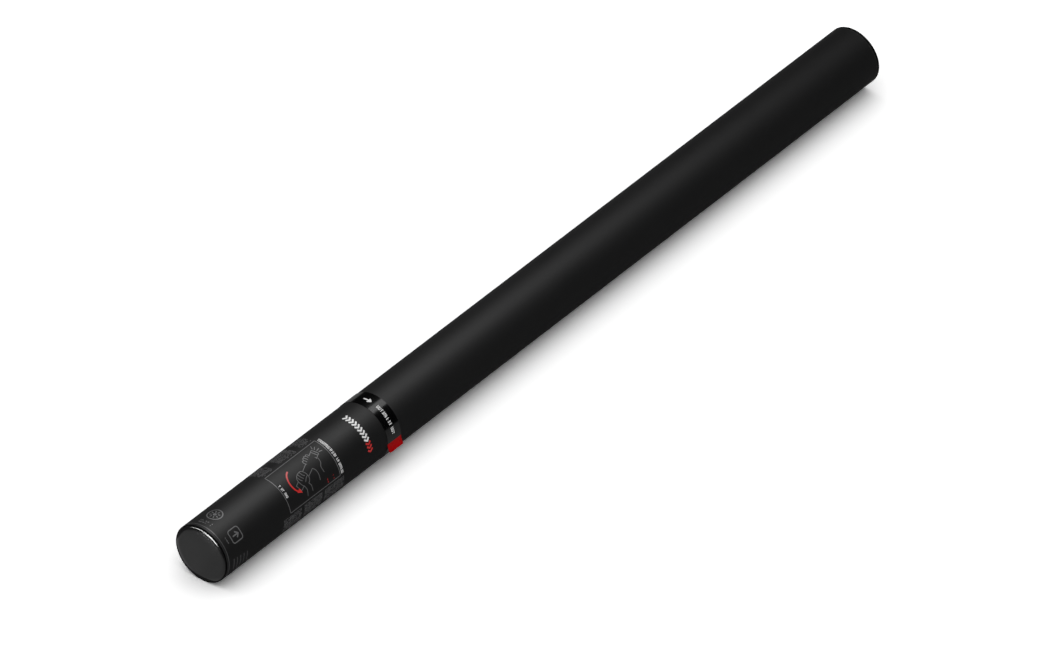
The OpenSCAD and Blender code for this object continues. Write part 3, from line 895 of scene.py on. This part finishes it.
def flowing(points, steps=6):
    """A smooth curve through points."""
    spots = [Vector(point) for point in (points[0], *points, points[-1])]
    curve = []
    for a, b, c, d in zip(spots, spots[1:], spots[2:], spots[3:]):
        for t in (k / steps for k in range(steps)):
            bend = (2 * a - 5 * b + 4 * c - d) * t**2 + (3 * b - a - 3 * c + d) * t**3
            curve.append(tuple(b + ((c - a) * t + bend) / 2))
    return [*curve, tuple(spots[-1])]


def rounded(left, bottom, right, top, corner):
    """Points of a rectangle with round corners."""
    left, bottom, right, top = left + corner, bottom + corner, right - corner, top - corner
    points = []
    for i, centre in enumerate(((right, top), (left, top), (left, bottom), (right, bottom))):
        points += arc(centre, corner, 90 * i, 90 * i + 90, 6)
    return points


def bowed(start, middle, end, steps):
    """Points of a curve that leaves its start and meets its end in line with its middle."""
    shares = [i / steps for i in range(steps + 1)]
    return [start * (1 - t) ** 2 + middle * 2 * t * (1 - t) + end * t**2 for t in shares]


def eased(points, radius):
    """A closed outline with each corner rounded, in EASED_STEPS steps."""
    smooth = []
    for i, point in enumerate(points):
        here = Vector(point)
        arms = [Vector(points[j % len(points)]) - here for j in (i - 1, i + 1)]
        back = min(radius, *(arm.length * 0.45 for arm in arms))
        start, end = (here + arm.normalized() * back for arm in arms)
        smooth += [tuple(spot) for spot in bowed(start, here, end, EASED_STEPS)]
    return smooth


def tube_ring(work, along, turns, radius_at):
    """A ring of vertices round the tube. radius_at gives its radius at each turn."""
    spots = [(-radius_at(t) * cos(t), radius_at(t) * sin(t)) for t in turns]
    return [work.verts.new((along, *spot)) for spot in spots]


def fill_between(work, rows, wrap_rows, wrap_cells):
    """Faces between rows of vertices, and between the last and the first where they wrap."""
    for a, b in zip(rows, rows[1:] + rows[:1] if wrap_rows else rows[1:]):
        for i in range(len(a) if wrap_cells else len(a) - 1):
            j = (i + 1) % len(a)
            corners = list(dict.fromkeys((a[i], a[j], b[j], b[i])))
            if len(corners) > 2:
                work.faces.new(corners)


def spun(name, outline, steps, *materials):
    """A closed outline of (along, out) points, spun round the tube's axis."""
    work = bmesh.new()
    turns = [tau * i / steps for i in range(steps)]
    rings = []
    for along, out in outline:
        if out < 1e-7:
            rings.append([work.verts.new((along, 0, 0))] * steps)
        else:
            rings.append(tube_ring(work, along, turns, lambda turn: out))
    fill_between(work, rings, True, True)
    return finish_work(name, work, *materials)


def sheet_round(name, span, outer, inner, turns, ease, *materials):
    """A sheet bent round the tube from one turn to another. outer gives its radius at each turn."""
    work = bmesh.new()
    (first, last), full = span, abs(turns[-1] - turns[0] - tau) < 1e-9
    turns = turns[:-1] if full else turns
    rings = []
    for along, drop in ((first, ease), (first + ease, 0), (last - ease, 0), (last, ease)):
        rings.append(tube_ring(work, along, turns, lambda turn: outer(turn) - drop))
    rings += [tube_ring(work, along, turns, lambda turn: inner) for along in (last, first)]
    fill_between(work, rings, True, full)
    if not full:
        work.faces.new([ring[0] for ring in rings])
        work.faces.new([ring[-1] for ring in reversed(rings)])
    return finish_work(name, work, *materials)


def soft_disc(name, node, corner, material):
    """A foam disc in the place of a CAD node, with soft edges and slightly crowned faces."""
    first, last, out = reach(node)
    crown = 0.25 * MM
    # the crowned face out to four fifths of the disc, then a quarter turn round its edge
    half = [(crown * (r / 8) ** 2, out * r / 10) for r in range(9)]
    for turn in (radians(15 * k) for k in range(7)):
        deep = corner + crown * 0.6 - corner * cos(turn)
        half.append((deep, out - corner + corner * sin(turn)))
    outline = [(first + deep, r) for deep, r in half]
    outline += [(last - deep, r) for deep, r in reversed(half)]
    return spun(name, outline, DISC_STEPS, material)


def settle(piece, body, slot=None, *nodes):
    """Hands a finished piece to its CAD body."""
    if nodes:
        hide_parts(*nodes)
    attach(piece, body)


def dress(node, material):
    """Gives a CAD node its finish and its smooth shading."""
    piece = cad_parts[node]
    piece.data.materials.clear()
    piece.data.materials.append(material)
    modifier = piece.modifiers.new("Soft Facets", "NODES")
    modifier.node_group = bpy.data.node_groups["Soft Facets"]


class POPPER_OT_board_tubes(Operator):
    """Winds the two cardboard tubes"""

    bl_idname = "popper.board_tubes"
    bl_label = "Wind Board Tubes"

    def execute(self, context):
        tube = context.scene.popper_tube
        board = board_material()
        for name, (first, last, out), body, node in (
            ("barrel_board", BARREL_BOARD, "barrel", "barrel_tube"),
            ("grip_board", GRIP_BOARD, "grip", "grip_tube"),
        ):
            bore = out - tube.board_wall
            corners = [(first, bore), (last, bore), (last, out), (first, out)]
            piece = spun(name, eased(corners, 0.12 * MM), tube.steps, board)
            settle(piece, body, "cardboard", node)
        return {"FINISHED"}


class POPPER_OT_labels(Operator):
    """Wraps the printed paper round both tubes, with its overlap on the hidden side"""

    bl_idname = "popper.labels"
    bl_label = "Wrap Labels"

    def execute(self, context):
        tube = context.scene.popper_tube
        step = tube.lap_place % tau
        turns = {tau * i / tube.steps for i in range(tube.steps + 1)}
        turns = sorted(turns | {step - 1e-4, step + 1e-4})
        barrel, grip = (BARREL[0], BARREL_BOARD[1] - SETBACK), (GRIP_BOARD[0] + SETBACK, GRIP[1])
        for name, span, out, body, node in (
            ("barrel_label", barrel, BARREL[2], "barrel", "barrel_wrap"),
            ("grip_label", grip, GRIP[2], "grip", "grip_wrap"),
        ):

            def radius_at(turn):
                past = max(0.0, (step - turn) % tau - tube.lap_angle)
                return out + tube.lap_rise * max(0.0, 1 - past / LAP_RAMP)

            paper = label_material("Black label, " + body, *span)
            inner = out - tube.label_wall
            piece = sheet_round(name, span, radius_at, inner, turns, EASE, paper)
            settle(piece, body, "black_paper", node)
        return {"FINISHED"}


class POPPER_OT_end_caps(Operator):
    """Finishes the two moulded end caps"""

    bl_idname = "popper.end_caps"
    bl_label = "Finish End Caps"

    def execute(self, context):
        finish = context.scene.popper_finish
        tube = context.scene.popper_tube
        plastic = cap_material()
        dress("base_cap", plastic)
        # a ring of the same plastic fills the wide rounding of the CAD out to a sharper edge
        foot, _, out = reach("base_cap")
        bevel = [(foot, out - finish.cap_round), (foot, out), (foot + finish.cap_round, out)]
        inside = (foot + finish.cap_round * 0.5, out - finish.cap_round * 0.5)
        corner = eased(bevel, finish.cap_corner)[CORNER_POINTS:-CORNER_POINTS]
        outline = [bevel[0], *corner, bevel[2], inside]
        edge = spun("base_cap_edge", outline, tube.steps, plastic)
        settle(edge, "grip", "grey_plastic")

        plug_start, face, out = reach("muzzle_cap")
        seat = BARREL_BOARD[1]
        plug = BARREL_BOARD[2] - tube.board_wall - SETBACK
        wall, lead, rim = 1.8 * MM, 0.8 * MM, 1.0 * MM
        corners = [
            (face, 0.0),
            (face, out),
            (seat, out),
            (seat, plug),
            (plug_start + lead, plug),
            (plug_start, plug - lead),
            (plug_start, plug - wall),
            (seat, plug - wall),
            (seat, 0.0),
        ]
        round_edges = eased(corners, finish.muzzle_corner)[CORNER_POINTS:-CORNER_POINTS]
        outline = [corners[0], (face, out - rim), *round_edges, corners[-1]]
        rim_tone, face_tone = finish.cap_rim, finish.muzzle_face
        plastics = (
            plastic_material("Muzzle rim plastic", rim_tone, 0.5, Specular_IOR_Level=0.06),
            plastic_material("Muzzle cap plastic", face_tone, 0.42, Specular_IOR_Level=0.3),
        )
        cap = spun("muzzle_cap_shell", outline, tube.steps, *plastics)
        for polygon in cap.data.polygons:
            spots = [cap.data.vertices[v].co.yz for v in polygon.vertices]
            polygon.material_index = int(max(spot.length for spot in spots) < out - rim * 0.9)
        settle(cap, "cap", "black_plastic", "muzzle_cap")
        return {"FINISHED"}


# blocks of small print above and below the drawing's frame: first row, rows, start, length
BLOCKS = (
    (75.9, 8, 33.4, 13.9),
    (98.0, 11, 33.4, 13.9),
    (122.9, 7, 33.4, 13.9),
    (68.6, 12, -20.3, 12.6),
    (93.1, 12, -20.3, 12.6),
    (117.2, 13, -20.3, 12.6),
)
# strokes of the drawing, along and across its tube: the tube, and the two hands that hold it
TUBE_STROKES = (
    [(-3.4, 3.0), (4.6, 3.0)],
    [(-3.6, -3.0), (4.2, -3.0)],
    [(13.4, 3.0), (19.5, 3.0), (19.5, -3.0), (13.6, -3.0)],
    [(17.4, 3.0), (17.4, -3.0)],
    [(-12.9, 2.9), (-17.6, 2.9), (-17.6, -2.9), (-12.6, -2.9)],
)
HAND_STROKES = (
    # the fist round the grip, its fingers and its wrist
    [(-3.4, 3.6), (-5.0, 5.2), (-8.4, 5.9), (-11.6, 5.2), (-13.2, 3.0), (-13.6, -0.6),
     (-12.9, -3.6)],
    [(-3.4, 3.6), (-3.0, 0.6), (-3.5, -2.4), (-5.4, -4.6), (-8.4, -5.6)],
    [(-12.9, -3.6), (-13.6, -7.2), (-16.6, -10.8)],
    [(-8.4, -5.6), (-8.2, -8.4), (-10.4, -12.4)],
    [(-5.6, 5.3), (-6.0, 2.4), (-5.4, 0.2)],
    [(-8.1, 5.8), (-8.5, 2.6), (-7.9, 0.0)],
    [(-10.6, 5.5), (-11.0, 2.6), (-10.4, 0.1)],
    [(-3.5, -1.6), (-6.2, -1.6), (-9.4, -2.6)],
    # the open hand under the barrel
    [(4.8, 2.2), (4.4, 4.4), (5.6, 6.0), (7.0, 5.0), (7.0, 2.6)],
    [(7.2, 5.4), (8.2, 6.6), (9.4, 5.6), (9.4, 2.8)],
    [(9.6, 5.8), (10.6, 6.6), (11.8, 5.4), (11.7, 2.9)],
    [(12.0, 5.2), (13.0, 5.7), (13.8, 4.4), (13.4, 2.6)],
    [(4.2, -3.0), (4.6, -6.2), (3.2, -10.0), (0.6, -13.4)],
    [(14.4, -1.4), (14.8, -4.4), (12.8, -7.2), (9.8, -8.8), (8.0, -13.2)],
)


class POPPER_OT_grip_print(Operator):
    """Prints the grip's label: rings, symbols, small print, the drawing and the chevrons"""

    bl_idname = "popper.grip_print"
    bl_label = "Print Grip"

    def execute(self, context):
        ink = context.scene.popper_print
        tones = ("white", "grey", "faint", "red")
        inks = [ink_material(tone.capitalize() + " ink", getattr(ink, tone)) for tone in tones]
        white, grey, faint, red = inks
        parts = {
            "faint": self.faint_parts(context, faint, grey),
            "grey": self.grey_parts(ink, grey),
            "red": self.red_parts(red),
            "white": [
                words(white, 78.6, 1, 2.4, 5.4, 11.4, 8, 2.3, seed=31),
                words(white, 138.2, 1, 2.4, 16.5, 24.2, 16, 2.6, seed=32),
                words(white, 138.2, 1, 2.4, -8.7, 8.8, 6, 2.6, seed=33),
            ],
        }
        # a row of chevrons round the grip, in the way that it turns
        first, pitch, chevrons, white_ones = 17.9, 3.05, 12, 9
        for i in range(chevrons):
            start = first - pitch * i
            chevron = [(169.4, start), (172.0, start - 2.0), (174.6, start)]
            tone, material = ("white", white) if i < white_ones else ("red", red)
            parts[tone].append(lines(material, 1.5 * MM, chevron))
        for tone, meshes in parts.items():
            settle(join_meshes("grip_print_" + tone, meshes), "grip")
        return {"FINISHED"}

    @staticmethod
    def faint_parts(context, faint, grey):
        """The ring by the base, two lines of small print, and a measure of five bars."""
        tube = context.scene.popper_tube
        facing = context.scene.popper_print.facing
        half_way = pi * GRIP[2] / MM
        lap_end = (tube.lap_place - facing) * GRIP[2] / MM
        lap_start = lap_end - (tube.lap_angle + LAP_RAMP) * GRIP[2] / MM
        parts = []
        # the ring climbs over the label's overlap
        for start, end, lift in (
            (-half_way, lap_start, 0.0),
            (lap_start, lap_end, tube.lap_rise),
            (lap_end, half_way, 0.0),
        ):
            path = [(RING_LINE, start), (RING_LINE, end)]
            parts.append(lines(faint, 0.8 * MM, path, radius=GRIP[2] + lift))
        parts.append(words(grey, 6.5, 2, 2.3, 24.8, 12.0, 10, 1.2, seed=1))
        parts.append(words(grey, 8.1, 1, 2.6, -0.7, 6.0, 6, 1.0, seed=2))
        for i, x in enumerate((8.6, 12.4, 16.3, 20.3, 24.2)):
            parts.append(lines(faint, 1.0 * MM, [(x, -20 - 0.5 * i), (x, -30.7)]))
        return parts

    @staticmethod
    def grey_parts(ink, grey):
        """A disc with rays, a square with an arrow, the drawing, its frame and small print."""
        disc = (19.2, 19.35)
        ways = [radians(45 * i + 22.5) for i in range(8)]
        rays = [
            [(disc[0] + r * cos(way), disc[1] + r * sin(way)) for r in (2.4, 4.4)]
            for way in ways
        ]
        parts = [
            lines(grey, 0.9 * MM, arc(disc, 6.1, 0, 360, 48)[:-1], closed=True),
            lines(grey, 0.95 * MM, *rays),
            patch(grey, arc(disc, 1.5, 0, 360, 20)[:-1]),
            lines(grey, 0.85 * MM, rounded(12.5, -9.4, 23.6, 1.2, 2.2), closed=True),
            lines(grey, 1.1 * MM, [(14.8, -4.1), (20.9, -4.1)]),
            lines(grey, 1.1 * MM, [(18.3, -1.6), (21.1, -4.1), (18.3, -6.6)]),
            lines(grey, ink.frame_line, rounded(76.2, -18.2, 135.4, 17.4, 0.6), closed=True),
        ]
        pitch, letters, height = 1.78, 13, 1.3
        for seed, (first, rows, start, run) in enumerate(BLOCKS, 21):
            layout = (first, rows, pitch, start, run, letters, height)
            parts.append(words(grey, *layout, ragged=0.12, seed=seed))

        # the drawing leans; slips fly from the tube's far end
        lean = radians(24)
        ahead = Vector((cos(lean), sin(lean)))
        beside = Vector((-sin(lean), cos(lean)))
        middle = Vector((108.5, 1.5))

        def leaning(points):
            return [tuple(middle + ahead * along + beside * across) for along, across in points]

        strokes = [leaning(points) for points in TUBE_STROKES]
        strokes += [flowing(leaning(points)) for points in HAND_STROKES]
        for way in map(radians, (-34, -12, 12, 34)):
            a, b = cos(way), sin(way)
            strokes.append(leaning([(20.9 + 0.2 * a, 4.6 * b), (20.9 + 3.4 * a, 8.4 * b)]))
        return [*parts, lines(grey, ink.fine_line, *strokes)]

    @staticmethod
    def red_parts(red):
        """The arrow that shows the way to turn, and two short words."""
        arrow = arc((98.0, 0.2), 10.6, 112, 232, 30)
        x, y = arrow[-1]
        return [
            lines(red, 1.3 * MM, arrow),
            patch(red, [(x - 2.6, y + 0.5), (x + 2.4, y - 1.9), (x + 1.2, y + 2.6)]),
            words(red, 121.6, 1, 2.0, -13.2, 3.6, 4, 0.9, seed=41),
            words(red, 128.4, 1, 2.0, -13.2, 3.6, 4, 0.9, seed=42),
        ]


class POPPER_OT_seal(Operator):
    """Lays the seal tape over the joint, with its red pull tab and its print"""

    bl_idname = "popper.seal"
    bl_label = "Lay Seal"

    def execute(self, context):
        seal = context.scene.popper_seal
        span = (TAPE[0] - seal.creep, TAPE[1] - seal.creep)
        out = TAPE[2] - context.scene.popper_print.film
        start, end = seal.tab_start, seal.tab_start + tau - seal.opening
        turns = [start + (end - start) * i / TAPE_STEPS for i in range(TAPE_STEPS + 1)]
        coat = {"Coat_Weight": 0.6, "Coat_Roughness": 0.12}
        film = film_material("Black seal film", seal.tape, 0.16, **coat)
        inner = out - seal.film
        band = sheet_round("seal_tape", span, lambda turn: out, inner, turns, EASE / 5, film)
        settle(band, "seal", "seal_tape", "seal_band")
        settle(self.tab(seal, *span, out), "seal", "tab_red", "seal_pull_tab")

        white = bpy.data.materials["White ink"]
        arrow = ([(199.2, 21.4), (199.2, 14.6)], [(197.3, 17.0), (199.2, 14.4), (201.1, 17.0)])
        parts = [
            lines(white, 1.3 * MM, *arrow, radius=out),
            words(white, 199.2, 1, 2.2, 8.4, 26.0, 13, 3.0, seed=50, radius=out),
        ]
        settle(join_meshes("seal_print", parts), "seal")
        return {"FINISHED"}

    @staticmethod
    def tab(seal, first, last, out):
        """The tab leaves the tube straight down, then curls out to its CAD end."""
        start, flare, corner = seal.tab_start, seal.flare, 0.9 * MM
        root = Vector((-cos(start), sin(start))) * (out - seal.film / 2)
        middle = root + Vector((0.0, -0.5)) * seal.tab_length
        end = root + Vector((-sin(flare), -cos(flare))) * seal.tab_length
        points = bowed(root, middle, end, TAB_STEPS)
        work = bmesh.new()
        rows = []
        for before, point, after in zip(points[:1] + points, points, points[1:] + points[-1:]):
            along = (after - before).normalized()
            half = Vector((along.y, -along.x)) * seal.film / 2
            short = max(0.0, corner - (end - point).length)
            trim = corner - sqrt(corner**2 - short**2)
            near, far = first + trim, last - trim
            sides = ((near, half), (far, half), (far, -half), (near, -half))
            rows.append([work.verts.new((x, *(point + shift))) for x, shift in sides])
        fill_between(work, rows, False, True)
        for row in (rows[0], rows[-1]):
            work.faces.new(row)
        film = film_material("Red tab film", seal.tab, 0.3, Specular_IOR_Level=0.07)
        return finish_work("seal_tab", work, film)


class POPPER_OT_charge(Operator):
    """Stacks the foil slips and sets the wad behind them"""

    bl_idname = "popper.charge"
    bl_label = "Load Charge"

    def execute(self, context):
        charge = context.scene.popper_charge
        bore = BARREL_BOARD[2] - context.scene.popper_tube.board_wall
        room, play = charge.slip_width + charge.stack_gap, 1.2 * MM
        values = {
            "First Layer": reach("foil_slips")[0],
            "Stack Height": 2 * sqrt((bore - play) ** 2 - room**2),
            "Foil": foil_material(),
        }
        # the tree's other inputs bear the names of the settings that feed them
        for key in PopperChargeSettings.__annotations__:
            if key not in ("foil", "foam", "card"):
                values[key.replace("_", " ").title()] = getattr(charge, key)
        mesh = grown("Foil Stacks", values)
        mesh.name = "foil_slip_stacks"
        mesh.set_sharp_from_angle(angle=FOIL_CREASE)
        settle(place_object("foil_slip_stacks", mesh), "charge", "foil", "foil_slips")

        foam = foam_material("Cream foam", charge.foam)
        wad = soft_disc("foam_wad_disc", "foam_wad", 1.3 * MM, foam)
        settle(wad, "charge", "foam", "foam_wad")
        dress("wad_disc", card_material())
        return {"FINISHED"}


class POPPER_OT_gas_parts(Operator):
    """Finishes the gas cylinder and what holds it"""

    bl_idname = "popper.gas_parts"
    bl_label = "Finish Gas Parts"

    def execute(self, context):
        finish = context.scene.popper_finish
        drawn = metal_material("Drawn aluminium", finish.aluminium, 0.30, (0.08, 1, 1))
        dress("gas_cylinder", drawn)
        pale = plastic_material("Pale collar plastic", finish.pale, 0.42)
        dress("cylinder_collar", pale)
        dress("neck_gasket", plastic_material("Gasket rubber", finish.rubber, 0.62))
        foam = foam_material("Dark foam", dim(context.scene.popper_charge.foam, 0.09))
        pad = soft_disc("base_foam_pad", "base_pad", 0.9 * MM, foam)
        settle(pad, "grip", "foam", "base_pad")
        return {"FINISHED"}


class POPPER_OT_valve_parts(Operator):
    """Finishes the twist valve, its pin, rings and the coupler"""

    bl_idname = "popper.valve_parts"
    bl_label = "Finish Valve Parts"

    def execute(self, context):
        finish = context.scene.popper_finish
        pale = plastic_material("Pale valve plastic", finish.pale, 0.40)
        rubber = plastic_material("Ring rubber", finish.rubber, 0.45)
        steel = metal_material("Ground steel", finish.steel, 0.28)
        brass = metal_material("Turned brass", finish.brass, 0.24, (6, 1, 1))
        for material, slot, nodes in (
            (pale, "pale_plastic", ("valve_body", "breech_coupler")),
            (brass, "brass", ("valve_plug",)),
            (rubber, "seal_rubber", ("plug_o_ring", "coupler_o_ring")),
            (steel, "steel", ("cross_pin", "thrust_washer", "snap_ring")),
        ):
            for node in nodes:
                dress(node, material)
        return {"FINISHED"}


LOW, UP = FLOOR + 0.002, 1.0  # height of the lamps by the base, and of the points above them
# lamps that only the gloss sees, because the sky alone gives the colours:
# place, point it looks at, width and height, and the setting with its power
LAMPS = {
    "Top light": ((0.30, 0.05, 1.25), (0.10, 0.0, 0.0), (0.85, 1.0), "top_light"),
    "Streak softbox": ((0.85, -0.03, 0.95), (0.11, 0.0, 0.0), (0.42, 0.5), "streak"),
    "Rim light": ((-0.165, 0.085, LOW), (-0.165, 0.085, UP), (0.08, 0.10), "rim_light"),
    "Near rim light": ((-0.098, 0.03, LOW), (-0.098, 0.03, UP), (0.05, 0.035), "near_light"),
    "Face light": ((-0.0235, 0.018, LOW), (-0.0235, 0.018, UP), (0.045, 0.085), "face_light"),
}


class POPPER_OT_stage(Operator):
    """Sets the floor, the lamps and the camera"""

    bl_idname = "popper.stage"
    bl_label = "Set Stage"

    def execute(self, context):
        stage = context.scene.popper_stage
        context.scene.view_settings.view_transform = "Standard"
        self.set_camera(context, stage)
        self.set_floor(stage)
        self.set_world(context, stage)
        self.set_lamps(stage)
        return {"FINISHED"}

    @staticmethod
    def set_camera(context, stage):
        a, e = stage.turn, stage.drop
        ahead = Vector((cos(e) * cos(a), cos(e) * sin(a), -sin(e)))
        right = Vector((sin(a), -cos(a), 0))
        lens = bpy.data.cameras.new("Camera")
        lens.lens = stage.lens
        lens.sensor_width = 36
        lens.clip_start, lens.clip_end = 0.5, 80
        camera = place_object("Camera", lens)
        turn = Matrix((right, right.cross(ahead), -ahead)).transposed().to_4x4()
        place = Vector(stage.aim) - ahead * stage.distance
        camera.matrix_world = Matrix.Translation(place) @ turn
        context.scene.camera = camera

    @staticmethod
    def set_floor(stage):
        half = stage.floor_size / 2
        mesh = bpy.data.meshes.new("floor")
        corners = [(x * half, y * half, FLOOR) for x, y in ((-1, -1), (1, -1), (1, 1), (-1, 1))]
        mesh.from_pydata(corners, [], [(0, 1, 2, 3)])
        skin = Skin("White sweep", (0.8, 0.8, 0.8, 1), 0.9, Specular_IOR_Level=0.0)
        net = skin.net
        path = net.named(net.add("ShaderNodeLightPath", out=None))
        skin.tint(path.Is_Glossy_Ray, (stage.floor_mirror,) * 3 + (1,))
        direct = net.math("MAXIMUM", path.Is_Camera_Ray, path.Is_Transmission_Ray)
        skin.tint(direct, (stage.floor_white,) * 3 + (1,))
        skin.feed(Base_Color=skin.tone)
        mesh.materials.append(skin.material)
        place_object("floor", mesh)

    @staticmethod
    def set_world(context, stage):
        """Even light from all round. The camera sees it white, glossy rays only by the horizon."""
        world = bpy.data.worlds.new("Studio")
        world.use_nodes = True
        context.scene.world = world
        net = Net(world.node_tree)
        path = net.named(net.add("ShaderNodeLightPath", out=None))
        height = net.split(net.add("ShaderNodeTexCoord", out="Generated"))[2]
        # what the gloss sees: a pale band over the horizon, then almost black
        rim = height.remap(0.0, 0.04, stage.floor_mirror, 0.004)
        rise = net.math("POWER", net.math("MAXIMUM", height, 0.0), stage.dome_rise)
        rise = rise * (stage.dome * (stage.dome_rise + 2) / 2)
        greys = (net.add("ShaderNodeCombineColor", share, share, share) for share in (rim, rise))
        mirrored, lit = greys
        sharp = net.math("MAXIMUM", path.Is_Glossy_Ray, path.Is_Transmission_Ray)
        tone = net.blend(path.Is_Camera_Ray, net.blend(sharp, lit, mirrored), (1, 1, 1, 1))
        net.plug(world.node_tree.nodes["Background"].inputs["Color"], tone)

    @staticmethod
    def set_lamps(stage):
        for name, (place, towards, (wide, high), power) in LAMPS.items():
            light = bpy.data.lights.new(name, "AREA")
            light.shape = "RECTANGLE"
            light.size, light.size_y = wide, high
            light.energy = getattr(stage, power)
            lamp = place_object(name, light)
            turn = (Vector(towards) - Vector(place)).to_track_quat("-Z", "Y").to_matrix()
            lamp.matrix_world = Matrix.Translation(Vector(place)) @ turn.to_4x4()
            lamp.visible_camera = False
            lamp.visible_diffuse = False


class POPPER_PT_panel(Panel):
    """Lists the steps that dress the popper"""

    bl_idname = "POPPER_PT_panel"
    bl_label = "Confetti Popper"
    bl_space_type = "VIEW_3D"
    bl_region_type = "UI"
    bl_category = "Popper"

    def draw(self, context):
        for operator in OPERATORS:
            self.layout.operator(operator.bl_idname)
        for name, group in SETTINGS.items():
            box = self.layout.box()
            settings = getattr(context.scene, name)
            for key in group.__annotations__:
                box.prop(settings, key)


SETTINGS = {
    "popper_tube": PopperTubeSettings,
    "popper_print": PopperPrintSettings,
    "popper_seal": PopperSealSettings,
    "popper_charge": PopperChargeSettings,
    "popper_finish": PopperFinishSettings,
    "popper_stage": PopperStageSettings,
}
OPERATORS = (
    POPPER_OT_stage,
    POPPER_OT_board_tubes,
    POPPER_OT_labels,
    POPPER_OT_end_caps,
    POPPER_OT_grip_print,
    POPPER_OT_seal,
    POPPER_OT_charge,
    POPPER_OT_gas_parts,
    POPPER_OT_valve_parts,
)
CLASSES = (*SETTINGS.values(), *OPERATORS, POPPER_PT_panel)
TREES = (
    make_tube_place,
    make_round_shoulder,
    make_grain,
    make_scuffs,
    make_end_rub,
    make_wrap_on_tube,
    make_printed_lines,
    make_printed_patches,
    make_small_print,
    make_foil_stacks,
    make_soft_facets,
)


def register():
    for item in CLASSES:
        bpy.utils.register_class(item)
    for name, group in SETTINGS.items():
        setattr(bpy.types.Scene, name, PointerProperty(type=group))


def unregister():
    for name in SETTINGS:
        delattr(bpy.types.Scene, name)
    for item in reversed(CLASSES):
        bpy.utils.unregister_class(item)


def main():
    register()
    for make in TREES:
        make()
    for operator in OPERATORS:
        group, name = operator.bl_idname.split(".")
        getattr(getattr(bpy.ops, group), name)()


if __name__ == "__main__":
    main()
